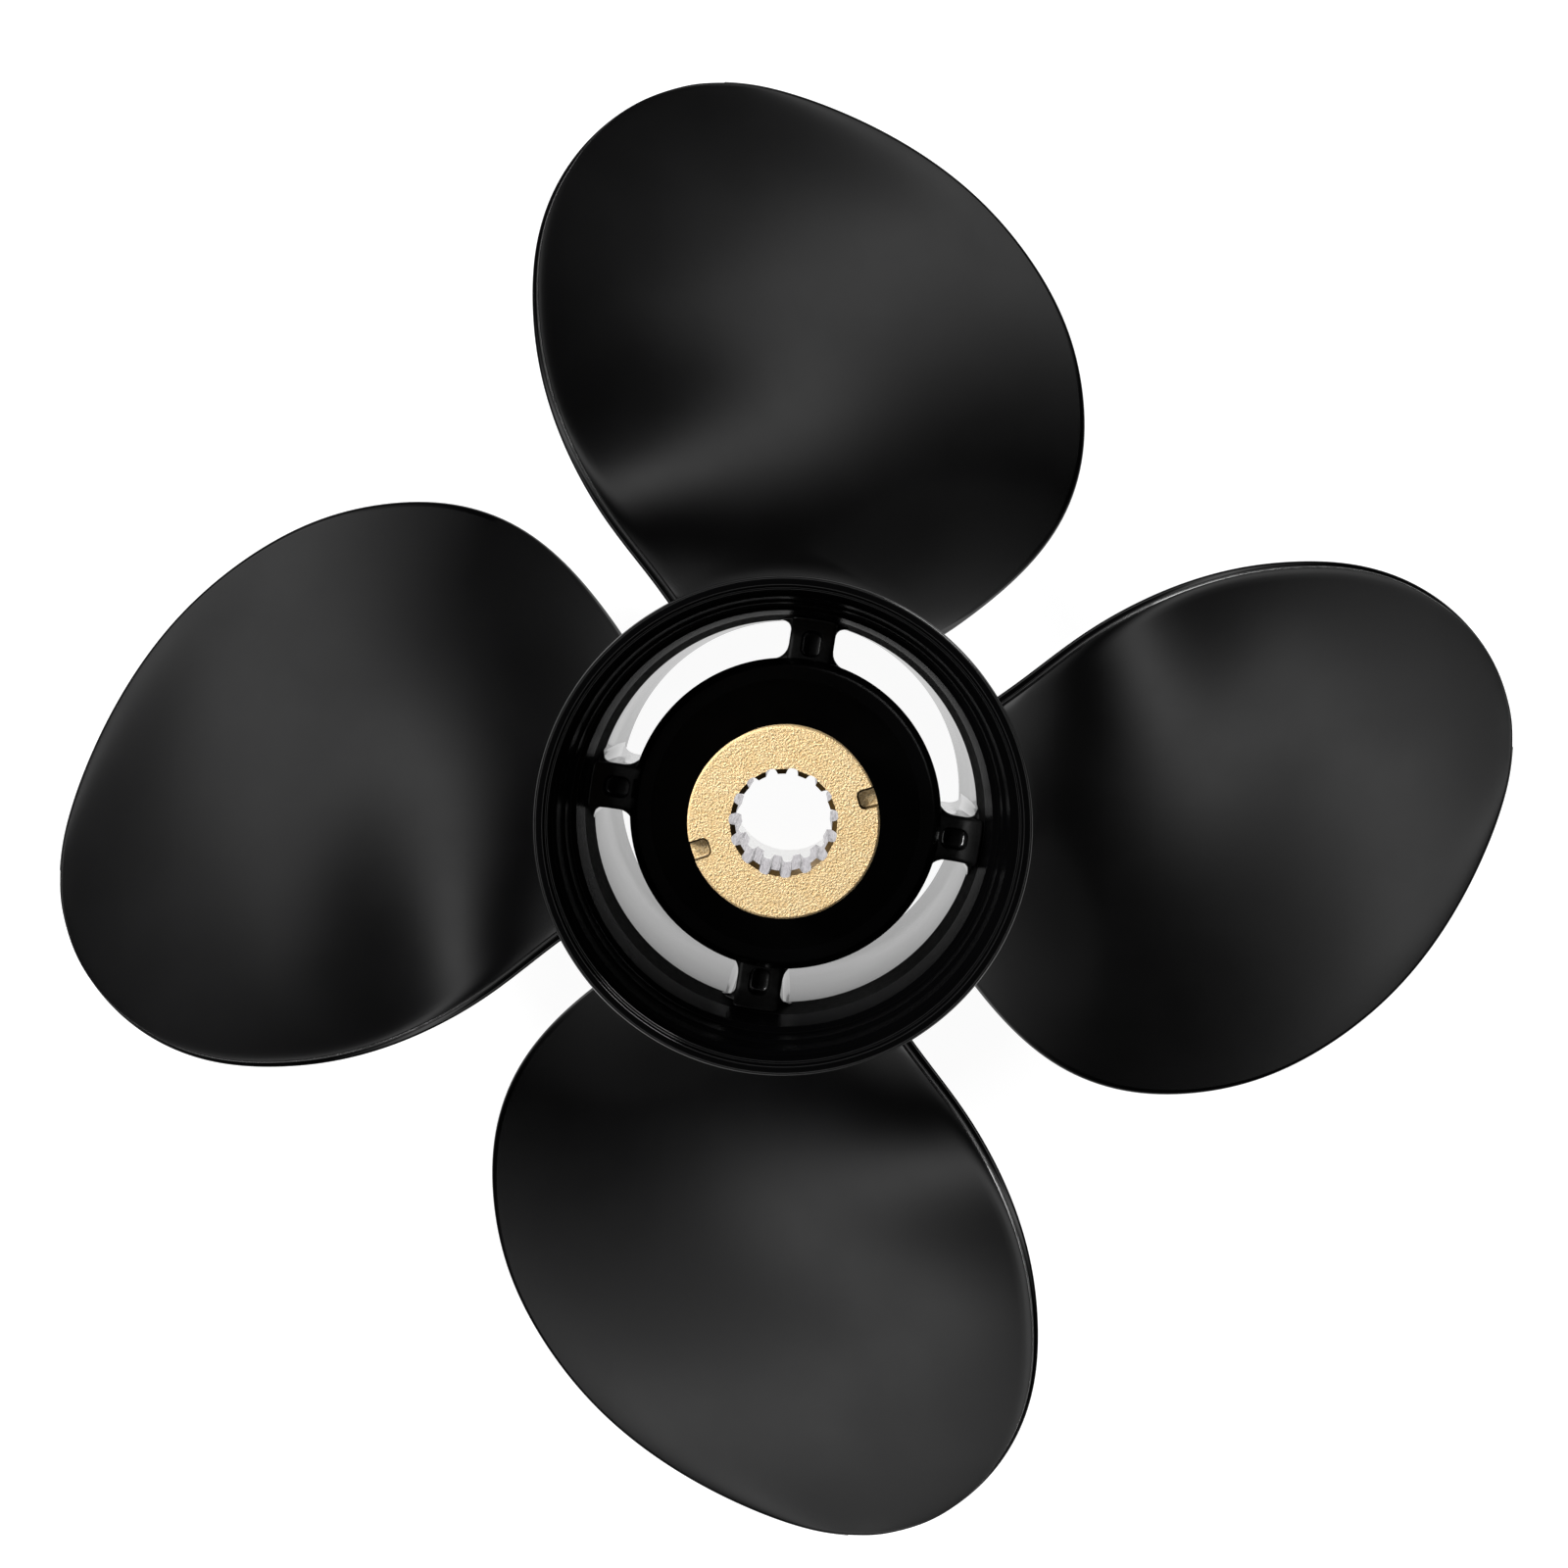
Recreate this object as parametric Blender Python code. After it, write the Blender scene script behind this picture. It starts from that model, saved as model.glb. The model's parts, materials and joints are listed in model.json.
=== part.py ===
"""Four-bladed outboard propeller: a painted aluminium casting with a splined brass sleeve in a rubber bushing.

Metres, +Z up. The shaft axis is the Z axis, the barrel's forward end lies on z = 0 and the aft rim faces up.
"""
import math

import bmesh
import bpy

# overall
BARREL_LENGTH = 0.128
BLADE_COUNT = 4
SEAT_GAP = 0.0003

# outer barrel: outer wall, exhaust passage and the flared rim at the aft end
BARREL_RADIUS = 0.0546
RIM_RADIUS = 0.0558
RIM_DEPTH = 0.0100
BARREL_EDGE = 0.0006
RIM_PROFILE = (
    # radius, depth: up the flare, over the lip, down the three turned steps and down the wall to the ribs
    (0.0550, 0.0062),
    (0.0556, 0.0028),
    (RIM_RADIUS, 0.0012),
    (0.0555, 0.0004),
    (0.0548, 0.0000),
    (0.0538, 0.0000),
    (0.0533, 0.0005),
    (0.0531, 0.0012),
    (0.0526, 0.0016),
    (0.0524, 0.0022),
    (0.0516, 0.0057),
    (0.0512, 0.0064),
    (0.0508, 0.0130),
    (0.0506, 0.0185),
    (0.0502, 0.0200),
    (0.0492, 0.0206),
    (0.0486, 0.0320),
)
PASSAGE_FORWARD_RADIUS = 0.0520
PASSAGE_AFT_RADIUS = 0.0479
RIB_PLANE_DEPTH = 0.0430
BARREL_SIDES = 96

# inner barrel that carries the bushing
INNER_BARREL_RADIUS = 0.03835
INNER_BARREL_BORE = 0.0330
INNER_AFT_DEPTH = 0.0328
INNER_FORWARD_HEIGHT = 0.0080
INNER_CHAMFER = 0.0008
INNER_SHOULDER = (
    # how far in from the outer wall, how far below the aft face
    (0.0000, 0.0040),
    (0.0004, 0.0024),
    (0.0010, 0.0010),
    (0.0018, 0.0002),
    (0.0022, 0.0000),
)
INNER_SIDES = 72

# ribs between the two barrels
RIB_WIDTH = 0.0112
RIB_FILLET = 0.0036
RIB_AFT_DEPTH = 0.0372
RIB_FORWARD_HEIGHT = 0.0120
RIB_ANGLE = 81.2
RIB_DRAFT = 0.0012
RIB_EDGE = 0.0014
RIB_FILLET_STEPS = 4
RIB_END_STEPS = 6
POCKET_RADIUS = 0.0422
POCKET_LENGTH = 0.0062
POCKET_WIDTH = 0.0044
POCKET_CORNER = 0.0012
POCKET_DEPTH = 0.0022

# rubber bushing
BUSHING_AFT_DEPTH = 0.0338
BUSHING_FORWARD_HEIGHT = 0.0100
BUSHING_CHAMFER = 0.0010

# brass sleeve with fifteen spline teeth
SLEEVE_RADIUS = 0.0220
SLEEVE_EDGE = 0.0004
SLEEVE_AFT_DEPTH = 0.0084
SLEEVE_FORWARD_HEIGHT = 0.0060
SPLINE_TEETH = 15
SPLINE_ROOT_RADIUS = 0.01255
SPLINE_CREST_RADIUS = 0.01110
SPLINE_CHAMFER = 0.0012
SPLINE_LENGTH = 0.0322
SPLINE_CREST_SHARE = 0.30
SPLINE_ROOT_SHARE = 0.34
SPLINE_FIRST_CREST = 20.0
SPLINE_RUN_OUT = 0.0008
MOUTH_RADIUS = 0.01275
RELIEF_RADIUS = 0.0165
TAPER_RADIUS = 0.0190
TAPER_LENGTH = 0.0140
NOTCH_ANGLES = (16.0, 197.5)
NOTCH_WIDTH = 0.0046
NOTCH_LENGTH = 0.0044
NOTCH_CORNER = 0.0014
NOTCH_DEPTH = 0.0010
CUT_CLEARANCE = 0.0010
CORNER_STEPS = 4

# blades: thirteen-inch pitch, no rake, right-handed
PITCH = 0.3302
TRAILING_DEPTH = 0.0280
PITCH_ORIGIN_ANGLE = 119.0
ROOT_RADIUS = BARREL_RADIUS + SEAT_GAP
BLADE_OUTLINE = (
    # radius, leading edge angle, trailing edge angle
    (ROOT_RADIUS, 49.2, 118.4),
    (0.0575, 48.0, 118.8),
    (0.0620, 46.4, 119.3),
    (0.0720, 44.6, 120.4),
    (0.0840, 43.7, 121.3),
    (0.0980, 43.8, 121.2),
    (0.1120, 45.3, 120.2),
    (0.1260, 48.5, 118.5),
    (0.1400, 53.5, 116.2),
    (0.1520, 59.1, 113.8),
    (0.1630, 66.0, 110.9),
    (0.1720, 73.2, 107.7),
    (0.1790, 80.8, 104.3),
    (0.1832, 86.5, 101.4),
    (0.1854, 90.0, 99.0),
    (0.1865, 92.4, 97.2),
    (0.1869, 94.0, 95.6),
)
CHORD_STEPS = 14
FOOT_STEPS = 6
ROOT_THICKNESS = 0.0090
TIP_THICKNESS = 0.0034
LEADING_THICKNESS = 0.0018
TRAILING_THICKNESS = 0.0034
CUP_HEIGHT = 0.0018
CUP_SHARE = 0.12
FILLET_REACH = 0.0130
FILLET_HEIGHT = 0.0080


def clear_scene():
    for item in list(bpy.data.objects):
        bpy.data.objects.remove(item, do_unlink=True)


def make_material(name, colour, metallic, roughness):
    material = bpy.data.materials.new(name)
    material.use_nodes = True
    shader = material.node_tree.nodes["Principled BSDF"]
    shader.inputs["Base Color"].default_value = (*colour, 1.0)
    shader.inputs["Metallic"].default_value = metallic
    shader.inputs["Roughness"].default_value = roughness
    return material


def make_object(name, mesh, material):
    item = bpy.data.objects.new(name, mesh)
    bpy.context.scene.collection.objects.link(item)
    if not mesh.materials:
        mesh.materials.append(material)
    return item


def mesh_from(name, points, faces, smooth_degrees=35.0):
    mesh = bpy.data.meshes.new(name)
    mesh.from_pydata(points, [], faces)
    work = bmesh.new()
    work.from_mesh(mesh)
    bmesh.ops.recalc_face_normals(work, faces=work.faces)
    for face in work.faces:
        face.smooth = True
    limit = math.radians(smooth_degrees)
    for edge in work.edges:
        if len(edge.link_faces) == 2 and edge.calc_face_angle(0.0) > limit:
            edge.smooth = False
    work.to_mesh(mesh)
    work.free()
    return mesh


def polar(radius, degrees, height):
    angle = math.radians(degrees)
    return (radius * math.cos(angle), radius * math.sin(angle), height)


def revolve(name, profile, sides, material):
    """Turn a closed profile of (radius, height) points about the shaft axis."""
    points = []
    faces = []
    count = len(profile)
    for side in range(sides):
        for radius, height in profile:
            points.append(polar(radius, 360.0 * side / sides, height))
    for side in range(sides):
        following = (side + 1) % sides
        for index in range(count):
            after = (index + 1) % count
            faces.append((side * count + index, following * count + index,
                          following * count + after, side * count + after))
    return make_object(name, mesh_from(name, points, faces), material)


def from_rim(depth):
    return BARREL_LENGTH - depth


def passage_radius(height):
    """Radius of the exhaust passage, which widens towards the forward end."""
    share = min(height / from_rim(RIB_PLANE_DEPTH), 1.0)
    return PASSAGE_FORWARD_RADIUS + share * (PASSAGE_AFT_RADIUS - PASSAGE_FORWARD_RADIUS)


def outer_barrel(material):
    profile = [
        (PASSAGE_FORWARD_RADIUS + BARREL_EDGE, 0.0),
        (BARREL_RADIUS - BARREL_EDGE, 0.0),
        (BARREL_RADIUS, BARREL_EDGE),
        (BARREL_RADIUS, from_rim(RIM_DEPTH)),
    ]
    profile += [(radius, from_rim(depth)) for radius, depth in RIM_PROFILE]
    profile.append((PASSAGE_AFT_RADIUS, from_rim(RIB_PLANE_DEPTH)))
    profile.append((PASSAGE_FORWARD_RADIUS, BARREL_EDGE))
    return revolve("outer_barrel", profile, BARREL_SIDES, material)


def inner_barrel(material):
    aft = from_rim(INNER_AFT_DEPTH)
    profile = [
        (INNER_BARREL_BORE, INNER_FORWARD_HEIGHT),
        (INNER_BARREL_RADIUS - INNER_CHAMFER, INNER_FORWARD_HEIGHT),
        (INNER_BARREL_RADIUS, INNER_FORWARD_HEIGHT + INNER_CHAMFER),
    ]
    profile += [(INNER_BARREL_RADIUS - inset, aft - drop) for inset, drop in INNER_SHOULDER]
    profile.append((INNER_BARREL_BORE + INNER_CHAMFER, aft))
    profile.append((INNER_BARREL_BORE, aft - INNER_CHAMFER))
    return revolve("inner_barrel", profile, INNER_SIDES, material)


def rubber_bushing(material):
    inner = SLEEVE_RADIUS + SEAT_GAP
    outer = INNER_BARREL_BORE - SEAT_GAP
    aft = from_rim(BUSHING_AFT_DEPTH)
    profile = (
        (inner, BUSHING_FORWARD_HEIGHT),
        (outer - BUSHING_CHAMFER, BUSHING_FORWARD_HEIGHT),
        (outer, BUSHING_FORWARD_HEIGHT + BUSHING_CHAMFER),
        (outer, aft - BUSHING_CHAMFER),
        (outer - BUSHING_CHAMFER, aft),
        (inner, aft),
    )
    return revolve("rubber_bushing", profile, INNER_SIDES, material)


def rib_side(inner_radius, outer_radius, half_width):
    """One flank of a rib in plan, from the inner barrel out, with a fillet at each end."""
    points = []
    for step in range(RIB_FILLET_STEPS + 1):
        turn = math.radians(90.0 * step / RIB_FILLET_STEPS)
        along = inner_radius + RIB_FILLET * (1.0 - math.cos(turn))
        across = half_width + RIB_FILLET * (1.0 - math.sin(turn))
        points.append((along, across))
    for step in reversed(range(RIB_FILLET_STEPS + 1)):
        turn = math.radians(90.0 * step / RIB_FILLET_STEPS)
        along = outer_radius - RIB_FILLET * (1.0 - math.cos(turn))
        across = half_width + RIB_FILLET * (1.0 - math.sin(turn))
        points.append((along, across))
    return points


def rib_outline(height, half_width):
    """Closed plan of a rib at one height; both ends follow the round walls that they meet."""
    inner_radius = INNER_BARREL_RADIUS + SEAT_GAP
    outer_radius = passage_radius(height) - SEAT_GAP
    side = rib_side(inner_radius, outer_radius, half_width)
    bent = []
    for along, across in side:
        share = (along - inner_radius) / (outer_radius - inner_radius)
        straight = math.sqrt(max(along * along - across * across, 0.0))
        at_end = abs(share - 0.5) * 2.0
        bent.append((along + (straight - along) * at_end ** 2, across))
    outline = [(x, -y) for x, y in bent]
    end_across = bent[-1][1]
    for step in range(1, RIB_END_STEPS):
        across = end_across * (2.0 * step / RIB_END_STEPS - 1.0)
        outline.append((math.sqrt(outer_radius ** 2 - across ** 2), across))
    outline += [(x, y) for x, y in reversed(bent)]
    start_across = bent[0][1]
    for step in range(1, RIB_END_STEPS):
        across = start_across * (1.0 - 2.0 * step / RIB_END_STEPS)
        outline.append((math.sqrt(inner_radius ** 2 - across ** 2), across))
    return outline


def rib_mesh():
    aft = from_rim(RIB_AFT_DEPTH)
    half_width = RIB_WIDTH / 2
    levels = (
        (RIB_FORWARD_HEIGHT, half_width - RIB_DRAFT),
        (aft - 2.0 * RIB_EDGE, half_width),
        (aft - RIB_EDGE * 0.7, half_width - RIB_EDGE * 0.3),
        (aft, half_width - RIB_EDGE),
    )
    points = []
    faces = []
    for height, half_width in levels:
        outline = rib_outline(height, half_width)
        count = len(outline)
        points += [(x, y, height) for x, y in outline]
    for level in range(len(levels) - 1):
        low = level * count
        high = low + count
        for index in range(count):
            after = (index + 1) % count
            faces.append((low + index, low + after, high + after, high + index))
    faces.append(tuple(range(count - 1, -1, -1)))
    faces.append(tuple(range((len(levels) - 1) * count, len(levels) * count)))
    return mesh_from("rib", points, faces)


def round_cornered(start, end, half_width, corner):
    """Closed plan of a rectangle that lies along X from start to end, with rounded corners."""
    outline = []
    corners = (
        (end - corner, half_width - corner, 0.0),
        (start + corner, half_width - corner, 90.0),
        (start + corner, corner - half_width, 180.0),
        (end - corner, corner - half_width, 270.0),
    )
    for x, y, first in corners:
        for step in range(CORNER_STEPS + 1):
            turn = math.radians(first + 90.0 * step / CORNER_STEPS)
            outline.append((x + corner * math.cos(turn), y + corner * math.sin(turn)))
    return outline


def cut_recess(item, outline, degrees, face_height, depth):
    """Cut a flat-bottomed recess of the given plan, turned about the shaft axis, into an aft face."""
    bottom = face_height - depth
    top = face_height + CUT_CLEARANCE
    count = len(outline)
    points = [(x, y, bottom) for x, y in outline] + [(x, y, top) for x, y in outline]
    faces = [tuple(range(count - 1, -1, -1)), tuple(range(count, 2 * count))]
    for index in range(count):
        after = (index + 1) % count
        faces.append((index, after, count + after, count + index))
    cutter = bpy.data.objects.new("recess_cutter", mesh_from("recess_cutter", points, faces))
    bpy.context.scene.collection.objects.link(cutter)
    cutter.rotation_euler.z = math.radians(degrees)
    cutter.hide_render = True
    cutter.display_type = 'WIRE'
    bpy.context.view_layer.update()
    modifier = item.modifiers.new("recess", 'BOOLEAN')
    modifier.operation = 'DIFFERENCE'
    modifier.solver = 'EXACT'
    modifier.object = cutter
    graph = bpy.context.evaluated_depsgraph_get()
    cut = bpy.data.meshes.new_from_object(item.evaluated_get(graph))
    item.modifiers.clear()
    item.data = cut
    bpy.data.objects.remove(cutter, do_unlink=True)


def ribs(material):
    """Four ribs, each with a blind pocket in its aft face."""
    pattern = make_object("rib_pattern", rib_mesh(), material)
    start = POCKET_RADIUS - POCKET_LENGTH / 2
    pocket = round_cornered(start, start + POCKET_LENGTH, POCKET_WIDTH / 2, POCKET_CORNER)
    cut_recess(pattern, pocket, 0.0, from_rim(RIB_AFT_DEPTH), POCKET_DEPTH)
    mesh = pattern.data
    bpy.data.objects.remove(pattern, do_unlink=True)
    made = []
    for index in range(BLADE_COUNT):
        item = make_object("rib_%d" % (index + 1), mesh, material)
        item.rotation_euler.z = math.radians(RIB_ANGLE + 360.0 * index / BLADE_COUNT)
        made.append(item)
    return made


def spline_ring(height):
    """One ring of the toothed bore: a straight crest, sloping flanks and a straight root for each tooth."""
    pitch_angle = 360.0 / SPLINE_TEETH
    points = []
    for tooth in range(SPLINE_TEETH):
        middle = SPLINE_FIRST_CREST + tooth * pitch_angle
        crest = SPLINE_CREST_SHARE * pitch_angle / 2
        root = SPLINE_ROOT_SHARE * pitch_angle / 2
        for offset in (-crest, crest):
            points.append(polar(SPLINE_CREST_RADIUS, middle + offset, height))
        for offset in (-root, 0.0, root):
            points.append(polar(SPLINE_ROOT_RADIUS, middle + pitch_angle / 2 + offset, height))
    return points


def round_ring(radius, height, like):
    points = []
    for x, y, _ in like:
        angle = math.atan2(y, x)
        points.append((radius * math.cos(angle), radius * math.sin(angle), height))
    return points


def brass_sleeve(material):
    aft = from_rim(SLEEVE_AFT_DEPTH)
    toothed_aft = spline_ring(aft - SPLINE_CHAMFER)
    toothed_forward = spline_ring(aft - SPLINE_LENGTH)
    bore_end = SLEEVE_FORWARD_HEIGHT
    rings = [
        round_ring(MOUTH_RADIUS, aft, toothed_aft),
        toothed_aft,
        toothed_forward,
        round_ring(RELIEF_RADIUS, aft - SPLINE_LENGTH - SPLINE_RUN_OUT, toothed_aft),
        round_ring(RELIEF_RADIUS, bore_end + TAPER_LENGTH, toothed_aft),
        round_ring(TAPER_RADIUS, bore_end, toothed_aft),
        round_ring(SLEEVE_RADIUS - SLEEVE_EDGE, bore_end, toothed_aft),
        round_ring(SLEEVE_RADIUS, bore_end + SLEEVE_EDGE, toothed_aft),
        round_ring(SLEEVE_RADIUS, aft - SLEEVE_EDGE, toothed_aft),
        round_ring(SLEEVE_RADIUS - SLEEVE_EDGE, aft, toothed_aft),
    ]
    count = len(toothed_aft)
    points = [point for ring in rings for point in ring]
    faces = []
    for index in range(len(rings)):
        low = index * count
        high = ((index + 1) % len(rings)) * count
        for side in range(count):
            after = (side + 1) % count
            faces.append((low + side, low + after, high + after, high + side))
    sleeve = make_object("brass_sleeve", mesh_from("brass_sleeve", points, faces, 25.0), material)
    notch = round_cornered(SLEEVE_RADIUS - NOTCH_LENGTH, SLEEVE_RADIUS + 2.0 * NOTCH_CORNER,
                           NOTCH_WIDTH / 2, NOTCH_CORNER)
    for angle in NOTCH_ANGLES:
        cut_recess(sleeve, notch, angle, aft, NOTCH_DEPTH)
    return sleeve


def section_thickness(share, radius):
    """Thickness of the blade across its chord, thickest a little aft of the middle."""
    along_span = (radius - ROOT_RADIUS) / (BLADE_OUTLINE[-1][0] - ROOT_RADIUS)
    full = ROOT_THICKNESS + (TIP_THICKNESS - ROOT_THICKNESS) * min(along_span * 1.25, 1.0)
    swell = math.sin(math.pi * share ** 1.15) ** 0.8
    edge = LEADING_THICKNESS + (TRAILING_THICKNESS - LEADING_THICKNESS) * share
    thin = 1.0 - 0.45 * along_span
    return (edge + max(full - edge, 0.0) * swell) * thin


def root_fillet(radius, share):
    """Height of the fillet that spreads the blade's root over the barrel."""
    reach = (radius - ROOT_RADIUS) / FILLET_REACH
    if reach >= 1.0:
        return 0.0
    return FILLET_HEIGHT * (1.0 - math.sqrt(1.0 - (1.0 - reach) ** 2)) * math.sin(math.pi * share)


def cup(share, radius):
    """Lift of the face where the trailing edge curls aft."""
    start = 1.0 - CUP_SHARE
    if share <= start:
        return 0.0
    return CUP_HEIGHT * ((share - start) / CUP_SHARE) ** 2


def blade_section(radius, leading, trailing):
    lead = PITCH / (2.0 * math.pi)
    slant = math.hypot(radius, lead)
    trailing_shift = math.degrees(section_thickness(1.0, radius) * lead / (radius * slant))
    face = []
    back = []
    for step in range(CHORD_STEPS + 1):
        share = 0.5 - 0.5 * math.cos(math.pi * step / CHORD_STEPS)
        degrees = leading + share * (trailing - trailing_shift - leading)
        height = from_rim(TRAILING_DEPTH) + lead * math.radians(degrees - PITCH_ORIGIN_ANGLE)
        fillet = root_fillet(radius, share)
        lifted = height + cup(share, radius) + fillet
        face.append(polar(radius, degrees, lifted))
        thickness = section_thickness(share, radius) + fillet
        turned = degrees + math.degrees(thickness * lead / (radius * slant))
        back.append(polar(radius, turned, height + cup(share, radius) - thickness * radius / slant))
    return face + list(reversed(back))


def root_rows(section):
    """Rows of points across the blade's foot, so that it follows the round barrel."""
    rows = []
    for index in range(1, CHORD_STEPS):
        near = section[index]
        far = section[len(section) - 1 - index]
        near_angle = math.degrees(math.atan2(near[1], near[0]))
        far_angle = math.degrees(math.atan2(far[1], far[0]))
        row = []
        for step in range(1, FOOT_STEPS):
            share = step / FOOT_STEPS
            degrees = near_angle + share * (far_angle - near_angle)
            row.append(polar(ROOT_RADIUS, degrees, near[2] + share * (far[2] - near[2])))
        rows.append(row)
    return rows


def blade_mesh():
    points = []
    faces = []
    for radius, leading, trailing in BLADE_OUTLINE:
        section = blade_section(radius, leading, trailing)
        count = len(section)
        points += section
    stations = len(BLADE_OUTLINE)
    for station in range(stations - 1):
        low = station * count
        high = low + count
        for index in range(count):
            after = (index + 1) % count
            faces.append((low + index, low + after, high + after, high + index))
    last = count - 1
    end = (stations - 1) * count
    for index in range(CHORD_STEPS):
        faces.append((end + index, end + index + 1, end + last - index - 1, end + last - index))
    rows = []
    for index, row in enumerate(root_rows(points[:count]), start=1):
        first = len(points)
        points += row
        rows.append([index] + list(range(first, first + len(row))) + [last - index])
    for row, following in zip(rows, rows[1:]):
        for step in range(FOOT_STEPS):
            faces.append((row[step], row[step + 1], following[step + 1], following[step]))
    faces.append(tuple([0] + rows[0] + [last]))
    faces.append(tuple([CHORD_STEPS + 1, CHORD_STEPS] + rows[-1]))
    return mesh_from("blade", points, faces, 40.0)


def blades(material):
    mesh = blade_mesh()
    made = []
    for index in range(BLADE_COUNT):
        item = make_object("blade_%d" % (index + 1), mesh, material)
        item.rotation_euler.z = math.radians(360.0 * index / BLADE_COUNT)
        made.append(item)
    return made


def main():
    clear_scene()
    paint = make_material("gloss black paint", (0.012, 0.012, 0.013), 0.0, 0.12)
    rubber = make_material("black rubber", (0.015, 0.015, 0.015), 0.0, 0.6)
    brass = make_material("cast brass", (0.72, 0.52, 0.25), 1.0, 0.35)
    blades(paint)
    outer_barrel(paint)
    inner_barrel(paint)
    ribs(paint)
    rubber_bushing(rubber)
    brass_sleeve(brass)


main()
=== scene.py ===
import json
import math

import bmesh
import bpy
import numpy as np
from bpy.props import FloatProperty, FloatVectorProperty, PointerProperty
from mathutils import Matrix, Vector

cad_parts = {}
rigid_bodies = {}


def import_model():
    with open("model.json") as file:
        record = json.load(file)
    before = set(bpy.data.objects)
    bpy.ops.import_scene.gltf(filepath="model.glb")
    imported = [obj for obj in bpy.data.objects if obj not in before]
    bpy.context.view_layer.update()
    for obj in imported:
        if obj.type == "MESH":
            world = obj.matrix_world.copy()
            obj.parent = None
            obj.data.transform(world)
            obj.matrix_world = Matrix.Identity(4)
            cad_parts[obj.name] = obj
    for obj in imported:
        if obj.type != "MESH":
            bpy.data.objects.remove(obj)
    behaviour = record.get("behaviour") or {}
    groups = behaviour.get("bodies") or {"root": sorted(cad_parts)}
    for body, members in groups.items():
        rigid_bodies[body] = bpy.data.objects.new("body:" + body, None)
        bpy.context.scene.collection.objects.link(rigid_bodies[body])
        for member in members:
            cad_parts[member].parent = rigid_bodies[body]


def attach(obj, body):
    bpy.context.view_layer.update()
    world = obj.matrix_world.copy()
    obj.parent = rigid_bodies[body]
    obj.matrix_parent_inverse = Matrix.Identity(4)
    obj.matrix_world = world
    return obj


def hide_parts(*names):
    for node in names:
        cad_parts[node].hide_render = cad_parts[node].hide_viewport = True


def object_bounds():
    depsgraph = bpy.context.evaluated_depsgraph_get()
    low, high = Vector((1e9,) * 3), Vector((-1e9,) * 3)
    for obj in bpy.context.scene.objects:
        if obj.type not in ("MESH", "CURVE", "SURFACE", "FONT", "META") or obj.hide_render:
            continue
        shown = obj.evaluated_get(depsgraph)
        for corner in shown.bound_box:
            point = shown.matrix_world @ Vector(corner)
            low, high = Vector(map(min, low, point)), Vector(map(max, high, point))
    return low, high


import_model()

bl_info = {
    "name": "Boat Propeller",
    "version": (1, 0, 0),
    "blender": (4, 5, 0),
    "location": "View3D > Sidebar > Propeller",
    "description": "Builds a painted four-bladed boat propeller with a splined brass sleeve",
    "category": "Object",
}

CAD_BOX = [list(corner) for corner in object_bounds()]
MILLIMETRE = 0.001
# Points of a skin closer than this are made one. The blades thin to nothing at their tips.
FINE_WELD = 0.001 * MILLIMETRE
BLADE_WELD = 0.03 * MILLIMETRE
PICTURE_SIDE = 1600.0

# The casting, in metres. The barrel's forward end is on z = 0 and its aft rim faces up.
BARREL_LENGTH = CAD_BOX[1][2] - CAD_BOX[0][2]
BARREL_RADIUS = 0.0546
RIM_RADIUS = 0.0558
RIM_DEPTH = 0.0100
FLARE_INSIDE_RADIUS = 0.0538
STRIP_DEPTH = 0.0320
RING_EDGE = 0.0006
PASSAGE_FORWARD_RADIUS = 0.0520
PASSAGE_AFT_RADIUS = 0.0479
OUTER_SIDES = 256
INNER_SIDES = 192
BUSHING_SIDES = 160
FLOOR_RADIUS = 6.0
# Faces that meet at more than these degrees have a sharp edge between them.
TURNED_CREASE = 32.0
BLADE_CREASE = 42.0
RIB_CREASE = 44.0
POCKET_CREASE = 40.0
SLEEVE_CREASE = 28.0
RIB_PLANE_DEPTH = 0.0430
INNER_BARREL_RADIUS = 0.03835
INNER_BARREL_BORE = 0.0330
INNER_AFT_DEPTH = 0.0328
INNER_FORWARD_HEIGHT = 0.0080
RIB_WIDTH = 0.0112
RIB_FILLET = 0.0032
RIB_AFT_DEPTH = 0.0372
RIB_FORWARD_HEIGHT = 0.0120
RIB_ANGLE = 81.2
RIB_EDGE = 0.0012
RIB_SKIN_DEPTH = 0.0030
RIB_RISE = 0.0046
RIB_RISE_REACH = 0.0050
RIB_STATIONS = (-0.06, 0.0, 0.03, 0.07, 0.12, 0.20, 0.32, 0.45, 0.56, 0.64,
                0.72, 0.79, 0.85, 0.90, 0.94, 0.97, 0.99, 1.0, 1.03)
POCKET_RADIUS = 0.0422
POCKET_LENGTH = 0.0066
POCKET_WIDTH = 0.0054
POCKET_DEPTH = 0.0030
POCKET_ROUND = 0.0016
POCKET_CORNER = 0.0020
BUSHING_AFT_DEPTH = 0.0330
BUSHING_FORWARD_HEIGHT = 0.0100
SLEEVE_RADIUS = 0.0220
SLEEVE_AFT_DEPTH = 0.0084
SLEEVE_FORWARD_HEIGHT = 0.0060
SPLINE_TEETH = 15
SPLINE_ROOT_RADIUS = 0.01255
SPLINE_CREST_RADIUS = 0.01110
SPLINE_CHAMFER = 0.0012
SPLINE_LENGTH = 0.0322
SPLINE_FIRST_CREST = 20.0
RELIEF_RADIUS = 0.0165
TAPER_RADIUS = 0.0190
TAPER_LENGTH = 0.0140
MOUTH_RADIUS = 0.01225
NOTCH_ANGLES = (16.0, 197.5)
NOTCH_WIDTH = 0.0046
NOTCH_LENGTH = 0.0044
NOTCH_DEPTH = 0.0018
NOTCH_ROUND = 0.0010
NOTCH_CORNER = 0.0014
BLADE_COUNT = 4
PITCH = 0.3302
TRAILING_DEPTH = 0.0280
PITCH_ORIGIN_ANGLE = 119.0
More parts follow.
